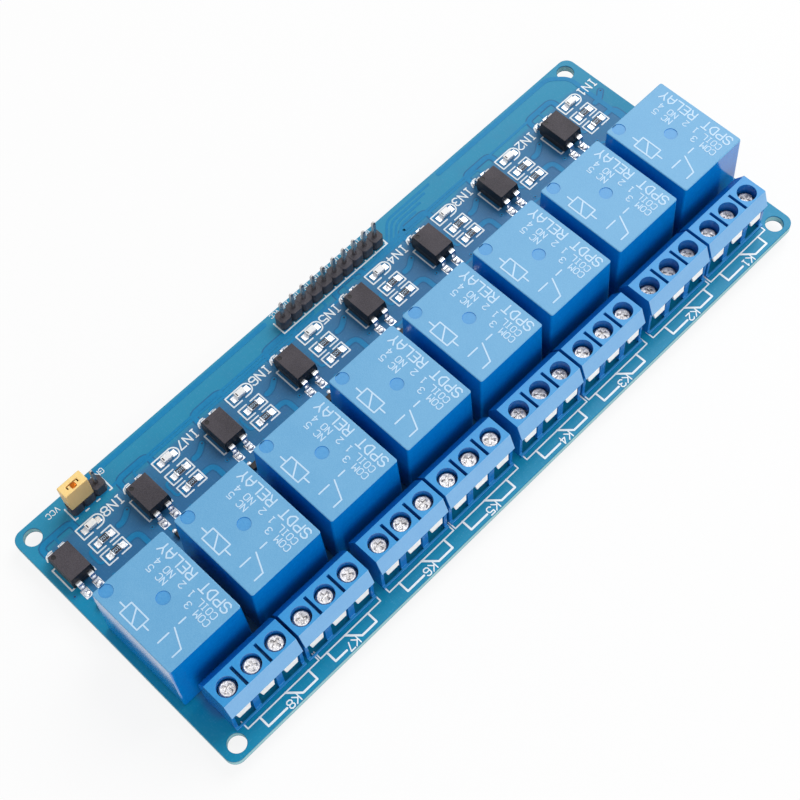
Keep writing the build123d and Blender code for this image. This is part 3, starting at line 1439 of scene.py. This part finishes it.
    def underside(self, piece: Piece) -> None:
        """Adds the heavy runs under the board from relays to terminals.

        Args:
            piece: The piece they join.
        """
        face, low = self.layout.bottom + SEAT, self.layout.bottom - self.trace_height
        pole, relay_y, y1 = self.layout.pole_pitch, self.layout.relay_y, self.layout.screw_y
        common, _, _, right, left = RELAY_PINS
        bend = y1 + self.power_bend
        for relay_x, block_x in zip(self.layout.relay_xs, self.layout.block_xs):
            for (along, across), end in ((right, pole), (left, -pole), (common, 0.0)):
                x0, y0, x1 = relay_x + along, relay_y + across, block_x + end
                route = [(x0, y0), (x0, bend + abs(x1 - x0)), (x1, bend), (x1, y1)]
                piece.stroke(route, self.power_width, face, low)


@dataclass(frozen=True)
class TerminalSign:
    """Where the printed line and changeover sign of one terminal block stand along X."""

    corner: float
    foot: float
    label: float
    far_foot: float
    far_corner: float


SIGNS = (
    TerminalSign(49.1, 51.5, 57.0, 62.1, 64.1),
    TerminalSign(33.5, 36.5, 41.8, 47.0, 48.55),
    TerminalSign(16.7, 18.4, 23.65, 28.95, 31.85),
    TerminalSign(1.05, 3.3, 8.65, 13.9, 16.2),
    TerminalSign(-16.4, -14.7, -9.4, -4.1, -1.15),
    TerminalSign(-31.95, -29.7, -24.45, -19.2, -16.85),
    TerminalSign(-47.6, -46.2, -42.2, -36.95, -34.0),
    TerminalSign(-63.55, -61.0, -55.45, -50.3, -48.0),
)


@dataclass
class Markings:
    """White screened lines and labels on the upper face."""

    layout: Layout
    line: float = 0.27
    block_line: float = 0.24
    sign_line: float = 0.36
    rise: float = 0.06
    label: float = 1.7
    sign_label: float = 1.4
    small_label: float = 1.0
    pin_label: float = 0.8
    line_y: float = -24.95
    foot_y: float = -27.0
    corner_run: float = 1.6
    below: float = 1.15
    above: float = 1.2
    opto_lines: tuple[tuple[Point, ...], ...] = (
        ((-2.0, 18.25), (-2.75, 18.25), (-2.75, 13.15), (-2.0, 13.15)),
        ((2.45, 13.9), (2.45, 13.15)),
        ((-2.25, 20.0), (-1.95, 20.75), (-1.2, 21.1), (-0.6, 21.05)),
    )
    dashes: tuple[float, ...] = (-57.0, -54.55)
    piece: Piece = field(default_factory=lambda: Piece("board_markings", WHITE_INK))

    def build(self) -> None:
        """Builds every line and label as one piece."""
        for channel in CHANNELS:
            self.terminal_lines(channel, SIGNS[channel - 1])
            self.input_lines(channel)
        self.header_lines()
        self.jumper_lines()
        self.piece.place(BOARD, "board")

    def draw(self, points: Sequence[Point], width: float | None = None) -> None:
        """Draws one line."""
        top = self.layout.top
        self.piece.stroke(points, width or self.line, top - SEAT, top + self.rise)

    def write(self, text: str, x: float, y: float, height: float) -> None:
        """Writes one label, read from the header side.

        Args:
            text: The letters.
            x: Middle along X.
            y: Middle along Y.
            height: Height of a capital.
        """
        top = self.layout.top
        self.piece.write(text, shift(x, y, turn=180), height, top - SEAT, top + self.rise)

    def terminal_lines(self, channel: int, sign: TerminalSign) -> None:
        """Draws the line and changeover sign in front of one terminal block.

        Args:
            channel: Channel number from 1 to 8.
            sign: Where its lines stand.
        """
        back, y, foot = self.line_y + self.corner_run, self.line_y, self.foot_y
        near, far, label = sign.corner, sign.far_corner, sign.label
        self.draw([(near, back), (near, y), (far, y), (far, back)], self.block_line)
        self.draw([(sign.foot, y), (sign.foot, foot), (label - 1.5, foot)], self.sign_line)
        switch = [(label, y), (label + 2.0, foot), (sign.far_foot, foot), (sign.far_foot, y)]
        self.draw(switch, self.sign_line)
        self.write(f"K{channel}", label, foot + 0.05, self.sign_label)

    def brackets(self, x0: float, y0: float, x1: float, y1: float, gap: Point) -> None:
        """Draws two brackets that face each other.

        Args:
            x0: Lowest X.
            y0: Lowest Y.
            x1: Highest X.
            y1: Highest Y.
            gap: Where the lines are broken along X.
        """
        self.draw([(gap[0], y0), (x0, y0), (x0, y1), (gap[0], y1)])
        self.draw([(gap[1], y0), (x1, y0), (x1, y1), (gap[1], y1)])

    def input_lines(self, channel: int) -> None:
        """Draws the outlines round one channel's input parts and its label.

        Args:
            channel: Channel number from 1 to 8.
        """
        x = self.layout.relay_xs[channel - 1]
        for line in self.opto_lines:
            self.draw([(x + self.layout.opto_shift + along, y) for along, y in line])
        for row in self.layout.chip_rows:
            gap = (x + 1.5, x + 2.45)
            self.brackets(x - 0.4, row - self.below, x + 4.45, row + self.above, gap)
        low, high = self.layout.led_y - self.below, self.layout.led_y + self.above
        nose = x + 3.5
        middle, half = (low + high) / 2, (high - low) / 2
        turn = [math.radians(angle) for angle in range(-90, 91, 22)]
        arc = [(nose + 1.15 * math.cos(a), middle + half * math.sin(a)) for a in turn]
        self.draw([(x + 1.6, low), (x - 0.35, low), (x - 0.35, high), (nose, high)])
        self.draw([(x + 2.5, low), *arc])
        self.write(f"IN{channel}", x + 7.1, 20.0, self.label)

    def header_lines(self) -> None:
        """Draws the line along the input header, its ticks and its pin labels."""
        low, high = span("input_header_body")
        left, right, front = low.x - 0.2, high.x + 0.2, low.y - 0.35
        self.draw([(left, high.y), (left, front), (right, front), (right, high.y)])
        names = ["VCC", *(f"IN{k}" for k in reversed(CHANNELS)), "GND"]
        for name, (x, _) in zip(names, self.layout.pin_places("input")):
            self.draw([(x + PITCH / 2, front), (x + PITCH / 2, front + 0.35)])
            self.write(name, x, high.y + 1.4, self.pin_label)

    def jumper_lines(self) -> None:
        """Draws the open outline round the jumper header and its end labels."""
        low, high = span("jumper_header_body")
        left, right, front = low.x - 0.3, high.x + 0.3, low.y - 0.35
        self.draw([(left, high.y), (left, front), (left + 0.6, front)])
        for x in self.dashes:
            self.draw([(x, front), (x + 0.65, front)])
        self.draw([(right - 0.5, front), (right, front), (right, high.y)])
        self.write("VCC", left - 1.8, high.y + 1.0, self.small_label)
        self.write("GND", right - 0.1, high.y + 1.0, self.small_label)


@dataclass
class Relays:
    """Eight sealed relays with their vent marks and a plain contact diagram."""

    layout: Layout
    corner: float = 0.4
    rim: float = 0.16
    seat: float = 0.45
    seat_inset: float = 0.35
    draft: float = 1.1
    mark_radius: float = 1.2
    mark_depth: float = 0.12
    top_slope: float = 0.35
    marks: tuple[Point, ...] = ((-5.4, 7.9), (0.0, 0.6))
    foot_half: float = 0.9
    foot_inset: float = 1.1
    print_room: float = 0.07
    print_rise: float = 0.03
    print_line: float = 0.26
    diagram_runs: tuple[tuple[Point, ...], ...] = (
        ((-6.3, 3.6), (-6.3, -0.4), (-3.9, -0.4), (-3.9, 3.6), (-6.3, 3.6)),
        ((-6.3, 0.8), (-3.9, 2.4)),
        ((-5.1, 3.6), (-5.1, 4.9)),
        ((-5.1, -0.4), (-5.1, -1.7)),
        ((-5.4, -7.6), (-3.6, -7.6), (-2.0, -4.3)),
        ((-5.4, -4.3), (-4.6, -4.3), (-3.2, -4.3)),
        ((-1.1, -4.3), (0.3, -4.3)),
    )
    words: tuple[tuple[str, float, float, float], ...] = (
        ("SPDT RELAY", 5.6, -0.4, 1.75),
        ("COIL 1 2", 3.45, -3.6, 1.15),
        ("COM 3", 1.85, -5.2, 1.15),
        ("NO 4", 3.45, 4.2, 1.15),
        ("NC 5", 1.85, 4.2, 1.15),
    )

    def build(self) -> None:
        """Builds a cover for each relay and the print on all of them."""
        for channel in CHANNELS:
            self.cover(channel)
        self.diagram()

    def shell(self, half_x: float, half_y: float, height: float) -> Form:
        """Makes a drafted cover with rounded corners and sunk vent marks.

        Args:
            half_x: Half its length along X at the foot.
            half_y: Half its length along Y at the foot.
            height: Height of its top above the board.

        Returns:
            The cover, with its top in finish 0, painted paler as painted light, its sides in 1 and
            the marks in 2.
        """
        draw_in = height * math.tan(math.radians(self.draft))
        form = Form.slab(half_x, half_y, self.seat, height)
        form.taper(height, 1 - draw_in / half_x, 1 - draw_in / half_y)
        form.soften(self.corner, 3, Edges.UPRIGHT).soften(self.rim, 2, Edges.TOP_RIM)
        form.dimple(self.marks, self.mark_radius, self.mark_depth, 2)
        return form.crown(2, self.top_slope)

    def cover(self, channel: int) -> None:
        """Builds one cover on its recessed base.

        Args:
            channel: Channel number from 1 to 8.
        """
        name = f"relay_{channel}"
        low, high = span(name)
        half_x, half_y = (high.x - low.x) / 2, (high.y - low.y) / 2
        inset, reach = self.seat_inset, half_x - self.foot_inset
        base = Form.slab(half_x - inset, half_y - inset, 0, self.seat + 0.05).paint(1)
        foot = Form.slab(self.foot_half, self.foot_half, 0, self.seat + 0.02)
        foot.soften(0.15, 1).paint(1)
        here = foot_of(name)
        sides = (self.foot_inset - half_y, half_y - self.foot_inset)
        corners = [here @ shift(x, y) for x in (-reach, reach) for y in sides]
        piece = Piece(f"relay_cover_{channel}", RELAY_TOP_PAINTED_LIGHT, RELAY_SIDE, RELAY_MARK)
        piece.add(self.shell(half_x, half_y, high.z - low.z - self.print_room), [here])
        piece.add(base, [here]).add(foot, corners)
        piece.place(BOARD, "relay_cover", [name])

    def diagram(self) -> None:
        """Prints a coil, a changeover contact and plain words on each cover."""
        piece = Piece("relay_diagrams", RELAY_INK)
        top = span("relay_1")[1].z - self.print_room
        low, high = top - SEAT, top + self.print_rise
        for relay_x in self.layout.relay_xs:
            here = shift(relay_x, self.layout.relay_y)
            for run in self.diagram_runs:
                piece.stroke(moved(run, here), self.print_line, low, high)
            for text, x, y, height in self.words:
                piece.write(text, here @ shift(x, y, turn=90), height, low, high)
        piece.place(BOARD, "relay_cover")


@dataclass
class Terminals:
    """Eight three-pole screw terminals with their contacts and clamp screws."""

    layout: Layout
    sample: str = "terminal_housing_2"
    edge: float = 0.1
    leaf_edge: float = 0.06
    leaf_taper: float = 0.7
    leaf_reach: float = 2.4
    leaf_root: float = 1.0
    sill_reach: float = 2.0
    sill_top: float = 2.0
    sill_foot: float = 0.5
    sill_depth: float = 0.9
    sill_thinning: float = 0.55
    sill_drop: float = 0.8
    head_steps: int = 28
    head_turn: float = 47.0
    head_chamfer: float = 0.3
    cross_reach: float = 0.95
    cross_width: float = 0.5
    cross_depth: float = 0.28
    cross_floor: float = 0.72

    def build(self) -> None:
        """Builds housings, contacts and screws."""
        form = self.lower_sill(Form.node(self.sample)).soften(self.edge, 2).split()
        # The brow takes the painted light and the walls take the painted shade.
        form.paint(2).paint(1, Facing.BROW).paint(0, Facing.UP)
        for channel in CHANNELS:
            self.housing(channel, form)
            for pole in POLES:
                self.screw(channel, pole)
        self.contacts()

    def lower_sill(self, form: Form) -> Form:
        """Lowers and thins the sill in front of the wire entries.

        Args:
            form: A copy of the sample housing.

        Returns:
            The same form.
        """
        low = span(self.sample)[0]
        front, top = self.layout.screw_y - self.sill_reach, low.z + self.sill_top
        lip = [vert for vert in form.bm.verts if vert.co.y < front and vert.co.z < top]
        inner = [vert for vert in lip if abs(vert.co.y - low.y - self.sill_depth) < 0.05]
        bmesh.ops.translate(form.bm, vec=(0, -self.sill_thinning, 0), verts=inner)
        crest = [vert for vert in lip if vert.co.z > low.z + self.sill_foot]
        bmesh.ops.translate(form.bm, vec=(0, 0, -self.sill_drop), verts=crest)
        return form

    def housing(self, channel: int, form: Form) -> None:
        """Places one housing.

        Args:
            channel: Channel number from 1 to 8.
            form: The softened sample housing.
        """
        name = f"terminal_housing_{channel}"
        piece = Piece(f"terminal_block_{channel}", BLOCK_TOP, BLOCK_BROW_PAINTED_LIGHT, BLOCK_WALL_PAINTED_SHADE)
        piece.add(form, [Matrix.Translation(middle_of(name) - middle_of(self.sample))])
        piece.place(BOARD, "terminal_plastic", [name])

    def contacts(self) -> None:
        """Builds the contact strips, each leaf drawn in towards its foot."""
        form = Form.node("terminal_contacts")
        pitch, front = self.layout.pole_pitch, self.layout.screw_y - self.leaf_reach
        head = span("terminal_contacts")[1].z - self.leaf_root
        feet = [vert for vert in form.bm.verts if vert.co.y < front and vert.co.z < head]
        for x in (block + side * pitch for block in self.layout.block_xs for side in (-1, 0, 1)):
            near = [vert for vert in feet if abs(vert.co.x - x) < pitch / 2]
            scale = (self.leaf_taper, 1.0, 1.0)
            bmesh.ops.scale(form.bm, vec=scale, verts=near, space=Matrix.Translation((-x, 0, 0)))
        piece = Piece("contact_strips", LEAF_PLATE).add(form.soften(self.leaf_edge, 1))
        piece.place(BOARD, "contact_tin", ["terminal_contacts"])

    def cross(self) -> list[Point]:
        """Gives the outline of the driver recess, seen from above.

        Returns:
            Its corners in order.
        """
        reach, half = self.cross_reach, self.cross_width / 2
        corners: list[Point] = []
        for quarter in range(4):
            turn = Matrix.Rotation(math.radians(90 * quarter), 2)
            for corner in ((reach, -half), (reach, half), (half, half)):
                point = turn @ Vector(corner)
                corners.append((point.x, point.y))
        return corners

    def screw(self, channel: int, pole: str) -> None:
        """Builds one clamp screw with a cross recess.

        Args:
            channel: Channel number from 1 to 8.
            pole: Pole letter.
        """
        name = f"terminal_screw_{channel}{pole}"
        low, high = span(name)
        radius, height = (high.x - low.x) / 2, high.z - low.z
        form, flat = Form(), radius - self.head_chamfer
        rim = form.circle(flat, shift(z=height), self.head_steps)
        corners = [form.bm.verts.new((x, y, height)) for x, y in self.cross()]
        recess = [form.bm.edges.new(pair) for pair in zip(corners, corners[1:] + corners[:1])]
        form.fill(rim + recess)
        form.sink(recess, (0, 0, -self.cross_depth), self.cross_floor, 0)
        skirt = form.draw(rim, (0, 0, -self.head_chamfer), radius / flat)
        form.sink(skirt, (0, 0, self.head_chamfer - height), 1.0, 0).tidy()
        turn = self.head_turn * (channel * len(POLES) + ord(pole))
        piece = Piece(f"clamp_screw_{channel}{pole}", SCREW_PLATE)
        piece.add(form, [foot_of(name, turn)])
        piece.place(f"screw_{channel}{pole}", "screw_steel", [name])


@dataclass
class InputParts:
    """Optocouplers, indicators, resistors and driver parts of every channel."""

    layout: Layout
    top_slope: float = 0.7
    lead_width: float = 1.05
    lead_metal: float = 0.24
    waist: float = 1.85
    foot_reach: float = 4.7
    land_reach: float = 4.95
    chip: Point = (0.98, 0.6)
    plated_half: float = 0.62
    led_end: float = 0.83
    chip_end: float = 0.86
    pad_reach: float = 1.48
    fillet_reach: float = 1.2
    leg_reach: float = 0.95
    tin_reach: float = 1.25
    tab_reach: float = 1.4
    drop_reach: float = 1.7

    def build(self) -> None:
        """Builds every small part."""
        self.opto_bodies()
        self.opto_leads()
        self.indicators()
        self.resistors()
        self.drivers()
        self.diodes()
        self.pads()

    def row(self, along: float, y: float, z: float) -> list[Matrix]:
        """Gives a place in each channel, some way along X from its relay."""
        return [shift(x + along, y, z) for x in self.layout.relay_xs]

    def opto_places(self) -> list[Matrix]:
        """Gives the middle of each optocoupler on the board's face."""
        return self.row(self.layout.opto_shift, self.layout.opto_y, self.layout.top)

    def chip_places(self, *rows: float) -> list[Matrix]:
        """Gives the middle of each channel's chip in one or more rows along X."""
        along, top = self.layout.chip_shift, self.layout.top
        return [place for y in rows for place in self.row(along, y, top)]

    def opto_bodies(self) -> None:
        """Builds the moulded bodies with a parting line and a pin mark."""
        low, high = span("optocoupler_bodies")
        foot, head = low.z - self.layout.top, high.z - self.layout.top
        half_y = (high.y - low.y) / 2
        half_x = (high.x - low.x - abs(self.layout.relay_xs[0] - self.layout.relay_xs[-1])) / 2
        form = Form.slab(half_x, half_y, foot, head).waist(self.waist)
        form.taper(head, 0.93, 0.925).taper(foot, 0.95, 0.945)
        form.soften(0.12, 2).dimple([(-1.45, 2.25)], 0.42, 0.08, 1, 16).crown(1, self.top_slope)
        piece = Piece("opto_packages", EPOXY_TOP, EPOXY_SIDE).add(form, self.opto_places())
        piece.place(BOARD, "package_black", ["optocoupler_bodies"])

    def opto_leads(self) -> None:
        """Builds gull-wing leads and the solder at their toes."""
        waist, foot = self.waist, self.lead_metal / 2 + 0.02
        shoulder = [(2.7, waist), (3.55, waist), (3.78, waist - 0.06), (3.92, waist - 0.24)]
        path = [*shoulder, (3.98, 0.55), (4.06, foot + 0.12), (4.22, foot), (self.foot_reach, foot)]
        form = Form.strip(path, self.lead_width, self.lead_metal).soften(0.05, 1, sharper_than=60)
        leads: list[Matrix] = []
        balls: list[Matrix] = []
        toes: list[Matrix] = []
        for here in pairs(self.opto_places(), PITCH / 2):
            leads += [here, here @ shift(turn=180)]
            balls.append(here @ shift(y=-self.land_reach - 0.15))
            toes.append(here @ shift(y=self.land_reach - 0.45))
        piece = Piece("opto_leads", LEAD_TIN, SOLDER).add(form, leads)
        piece.add(dome(0.66, 0.5).paint(1), balls).add(dome(0.48, 0.2).paint(1), toes)
        piece.place(BOARD, "lead_tin", ["optocoupler_leads"])

    def indicators(self) -> None:
        """Builds the indicators: a base, a milky lens and two plated ends."""
        low, high = span("indicator_leds")
        height = high.z - low.z
        base = Form.slab(*self.chip, 0, height * 0.45).soften(0.04, 1).paint(1)
        lens = Form.slab(1.0, 0.64, height * 0.4, height - SEAT)
        lens.taper(height - SEAT, 0.98, 0.96).soften(0.06, 2).paint(0)
        mark = Form.box((-0.82, -0.34, height - 0.02), (-0.6, 0.34, height)).paint(3)
        end = Form.slab(0.18, self.plated_half, 0, height * 0.48).soften(0.04, 1).paint(2)
        places = self.chip_places(self.layout.led_y)
        piece = Piece("indicators", LED_RESIN, CERAMIC, SOLDER, GLAZE)
        piece.add(base, places).add(lens, places).add(mark, places)
        piece.add(end, pairs(places, self.led_end))
        piece.place(BOARD, "led_lens", ["indicator_leds"])

    def resistors(self) -> None:
        """Builds the resistors: ceramic, dark glaze with a plain value, plated ends."""
        low, high = span("chip_resistors")
        height = high.z - low.z
        body = Form.slab(*self.chip, 0, height * 0.86).soften(0.03, 1).paint(0)
        glaze = Form.slab(0.72, 0.59, height * 0.86, height).soften(0.025, 1).paint(1)
        end = Form.slab(0.14, self.plated_half, 0, height * 0.96).soften(0.06, 2).paint(2)
        places = self.chip_places(*self.layout.chip_rows)
        piece = Piece("resistors", CERAMIC, GLAZE, LEAD_TIN, RELAY_INK)
        piece.add(body, places).add(glaze, places).add(end, pairs(places, self.chip_end))
        for place in places:
            piece.write("102", place @ shift(turn=180), 0.52, high.z - 0.005, high.z + 0.012, 3)
        piece.place(BOARD, "resistor_ceramic", ["chip_resistors"])

    def drivers(self) -> None:
        """Builds the three-legged driver transistors."""
        low, high = span("driver_transistors")
        height = high.z - low.z
        body = Form.slab(1.45, 0.65, 0.06, height).waist(height * 0.5)
        body.taper(height, 0.94, 0.86).taper(0.06, 0.96, 0.9).soften(0.07, 2).paint(0)
        path = [(0.5, 0.5), (0.85, 0.5), (0.98, 0.42), (1.02, 0.16), (1.12, 0.08), (1.35, 0.08)]
        leg = Form.strip(path, 0.42, 0.13).paint(1)
        places = self.row(self.layout.opto_shift, self.layout.driver_y, low.z)
        legs = pairs(places, self.leg_reach) + [p @ shift(turn=180) for p in places]
        tins = pairs(places, self.leg_reach, self.tin_reach)
        tins += [p @ shift(y=-self.tin_reach) for p in places]
        piece = Piece("driver_packages", EPOXY_SIDE, LEAD_TIN, SOLDER)
        piece.add(body, places).add(leg, legs).add(dome(0.42, 0.2).paint(2), tins)
        piece.place(BOARD, "package_black", ["driver_transistors"])

    def diodes(self) -> None:
        """Builds the flyback diodes with their cathode bands."""
        low, high = span("flyback_diodes")
        height = high.z - low.z
        body = Form.slab(1.35, 0.8, 0.04, height).waist(height * 0.45)
        body.taper(height, 0.93, 0.9).taper(0.04, 0.97, 0.94).soften(0.08, 2).paint(0)
        band = Form.box((-1.0, -0.7, height - 0.02), (-0.68, 0.7, height + 0.012)).paint(3)
        tab = Form.slab(0.3, 0.45, 0, 0.36).soften(0.06, 2).paint(1)
        places = self.row(self.layout.chip_shift, self.layout.driver_y, low.z)
        piece = Piece("diode_packages", EPOXY_SIDE, LEAD_TIN, SOLDER, WHITE_INK)
        piece.add(body, places).add(band, places).add(tab, pairs(places, self.tab_reach))
        piece.add(dome(0.62, 0.26).paint(2), pairs(places, self.drop_reach))
        piece.place(BOARD, "package_black", ["flyback_diodes"])

    def pads(self) -> None:
        """Builds tinned pads and fillets at the ends of the chips and under the leads."""
        pad = Form.slab(0.5, 0.62, 0, 0.09).soften(0.04, 2)
        rows = self.layout.chip_rows
        ends = pairs(self.chip_places(*rows, self.layout.led_y), self.pad_reach)
        near = pairs(self.chip_places(*rows), self.fillet_reach)
        front = Form.slab(0.72, 0.95, 0, 0.06).soften(0.025, 1)
        back = Form.slab(0.62, 0.5, 0, 0.06).soften(0.025, 1)
        piece = Piece("solder_lands", SOLDER).add(pad, ends).add(dome(0.46, 0.16), near)
        for land, y in ((front, -self.land_reach), (back, self.land_reach - 0.4)):
            piece.add(land, pairs(self.opto_places(), PITCH / 2, y))
        piece.place(BOARD, "solder")


def dome(radius: float, height: float, steps: int = 14) -> Form:
    """Makes a flat-bottomed drop of solder.

    Args:
        radius: Radius on the board.
        height: Height in the middle.
        steps: Sides of the round.

    Returns:
        The drop.
    """
    angles = [math.radians(angle) for angle in range(0, 90, 18)]
    arc = [(radius * math.cos(a), height * math.sin(a)) for a in angles]
    return Form.turned([(0.0, 0.0), *arc, (0.0, height)], steps)


@dataclass
class Headers:
    """Two pin headers and the pull-off jumper cap."""

    layout: Layout
    point: float = 0.55
    cell_edge: float = 0.07
    notch: float = 0.5
    cap_edge: float = 0.16

    def build(self) -> None:
        """Builds insulators, pins, cap and clip."""
        for which in HEADER_PINS:
            self.insulator(which)
            self.pins(which)
        self.cap()

    def insulator(self, which: str) -> None:
        """Builds one row of cells with notched corners.

        Args:
            which: The header.
        """
        name = f"{which}_header_body"
        low, high = span(name)
        half, depth = (high.x - low.x) / HEADER_PINS[which] / 2, (high.y - low.y) / 2
        cell = Form.slab(half, depth, 0, high.z - low.z).soften(self.notch, 1, Edges.UPRIGHT)
        places = [shift(x, y, low.z) for x, y in self.layout.pin_places(which)]
        piece = Piece(f"{which}_insulator", HEADER_NYLON)
        piece.add(cell.soften(self.cell_edge, 2), places)
        piece.place(BOARD, "header_plastic", [name])

    def pins(self, which: str) -> None:
        """Builds one row of pointed square pins.

        Args:
            which: The header.
        """
        name = f"{which}_header_pins"
        low, high = span(name)
        half, top = PIN_SIDE / 2, high.z - low.z
        form = Form.slab(half, half, 0, top).waist(top - self.point)
        form.taper(top, 0.5, 0.5).soften(0.05, 1, sharper_than=60)
        places = [shift(x, y, low.z) for x, y in self.layout.pin_places(which)]
        Piece(f"{which}_pins", PIN_TIN).add(form, places).place(BOARD, "pin_metal", [name])

    def cap(self) -> None:
        """Builds the jumper cap and its brass tongue and finishes the clip inside."""
        # The top takes the paler tone, which is painted light.
        form = Form.node("jumper_cap").soften(self.cap_edge, 2).paint(1).paint(0, Facing.UP)
        piece = Piece("jumper_shell", CAP_TOP_PAINTED_LIGHT, CAP_SIDE).add(form)
        low, high = span("jumper_cap")
        middle = shift((low.x + high.x) / 2, (low.y + high.y) / 2, high.z)
        piece.add(Form.box((-0.95, -0.4, -0.5), (0.95, 0.1, -0.02)), [middle])
        tongue = Form.box((-0.6, -1.0, -0.3), (0.6, 0.12, 0.2))
        tongue.taper(0.2, 0.75, 0.8).soften(0.2, 3)
        Piece("jumper_tongue", CLIP_BRASS).add(tongue, [middle]).place(JUMPER, "clip_brass")
        clip = bpy.data.objects["jumper_clip"]
        clip.material_slots[0].material = CLIP_BRASS.material()
        LOG.info("jumper_clip: keeps its packed shape")
        piece.place(JUMPER, "cap_plastic", ["jumper_cap"])


@dataclass
class Underside:
    """Soldered tails under the board."""

    layout: Layout
    pad_rise: float = 0.05
    pad_rim: float = 0.3

    def build(self) -> None:
        """Builds a concave cone of solder, a pad and a cut tail at each joint."""
        layout = self.layout
        poles = (-layout.pole_pitch, 0.0, layout.pole_pitch)
        heavy = [shift(x + a, layout.relay_y + b) for x in layout.relay_xs for a, b in RELAY_PINS]
        heavy += [shift(x + a, layout.screw_y) for x in layout.block_xs for a in poles]
        light = [shift(x, y) for which in HEADER_PINS for x, y in layout.pin_places(which)]
        piece = Piece("soldered_tails", SOLDER)
        piece.add(self.cone(1.2, 0.55), heavy).add(self.cone(0.8, 0.4), light)
        piece.place(BOARD, "solder", ["solder_joints"])

    def cone(self, foot: float, tail: float) -> Form:
        """Makes one joint, hanging from the board to the standing plane.

        Args:
            foot: Radius on the board.
            tail: Radius of the cut tail.

        Returns:
            The joint.
        """
        length, pad = self.layout.bottom, foot + self.pad_rim
        slope = [(0, length), (pad, length), (pad, length - self.pad_rise), (foot, length - 0.1)]
        for share, out in ((0.75, 0.5), (0.5, 0.2), (0.3, 0.05)):
            slope.append((tail + (foot - tail) * out, length * share))
        return Form.turned([*slope, (tail * 0.95, 0.12), (tail * 0.75, 0.0), (0, 0)], 14)


@dataclass
class Studio:
    """Floor, world, lamps and the camera at the photograph's angle."""

    target: Place = (-5.603, -1.300, 3.6)
    azimuth: float = -40.030
    elevation: float = 62.302
    roll: float = -5.941
    distance: float = 288.922
    focal_share: float = 1670.839 / 800
    sensor: float = 36.0
    sky: float = 0.42
    floor_half: float = 3.0
    lamps: tuple[tuple[str, Place, float, float], ...] = (
        ("key_softbox", (0.52, 0.08, 0.72), 0.6, 5.0),
        ("front_softbox", (-0.25, -0.75, 0.42), 0.6, 3.0),
    )

    def build(self) -> None:
        """Builds the whole studio."""
        self.floor()
        self.world()
        for lamp in self.lamps:
            self.lamp(*lamp)
        self.camera()
        bpy.context.scene.view_settings.view_transform = "Standard"

    def floor(self) -> None:
        """Lays the paper floor under the tails."""
        bm = bmesh.new()
        bmesh.ops.create_grid(bm, x_segments=1, y_segments=1, size=self.floor_half)
        mesh = bpy.data.meshes.new("paper_floor")
        bm.to_mesh(mesh)
        bm.free()
        mesh.materials.append(PAPER.material())
        floor = bpy.data.objects.new("paper_floor", mesh)
        bpy.context.scene.collection.objects.link(floor)

    def world(self) -> None:
        """Makes the room white to the eye and softer as a light."""
        graph = Graph(bpy.data.worlds.new("studio_room"))
        level = graph.seen() * (1.0 - self.sky) + self.sky
        inputs = {"Color": WHITE, "Strength": level}
        graph.end(graph.node("ShaderNodeBackground", inputs=inputs))
        bpy.context.scene.world = graph.owner

    def lamp(self, name: str, place: Place, size: float, power: float) -> None:
        """Hangs one square softbox that faces the board.

        Args:
            name: Name of the lamp.
            place: Where it hangs, in metres.
            size: Side of the square.
            power: Power in watts.
        """
        light = bpy.data.lights.new(name, "AREA")
        light.shape = "SQUARE"
        light.size = size
        light.energy = power
        lamp = bpy.data.objects.new(name, light)
        lamp.location = place
        lamp.rotation_euler = Vector(place).to_track_quat("Z", "Y").to_euler()
        bpy.context.scene.collection.objects.link(lamp)

    def camera(self) -> None:
        """Sets the camera where the photograph was taken from."""
        turn, lift, lean = (math.radians(v) for v in (self.azimuth, self.elevation, self.roll))
        flat = math.cos(lift)
        back = Vector((math.sin(turn) * flat, -math.cos(turn) * flat, math.sin(lift)))
        level = Vector((math.cos(turn), math.sin(turn), 0.0))
        upright = back.cross(level)
        right = level * math.cos(lean) + upright * math.sin(lean)
        up = upright * math.cos(lean) - level * math.sin(lean)
        place = (Vector(self.target) + back * self.distance) * MM
        lens = bpy.data.cameras.new("photo_camera")
        lens.sensor_width = self.sensor
        lens.lens = self.sensor * self.focal_share
        lens.clip_start = 0.01
        camera = bpy.data.objects.new("photo_camera", lens)
        camera.matrix_world = Matrix(
            [(right[i], up[i], back[i], place[i]) for i in range(3)] + [(0, 0, 0, 1)]
        )
        bpy.context.scene.collection.objects.link(camera)
        bpy.context.scene.camera = camera


def main() -> None:
    """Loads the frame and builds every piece."""
    logging.basicConfig(level=logging.INFO, format="%(name)s %(message)s")
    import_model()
    layout = Layout.read()
    BareBoard(layout).build()
    Markings(layout).build()
    Relays(layout).build()
    Terminals(layout).build()
    InputParts(layout).build()
    Headers(layout).build()
    Underside(layout).build()
    Studio().build()


if __name__ == "__main__":
    main()
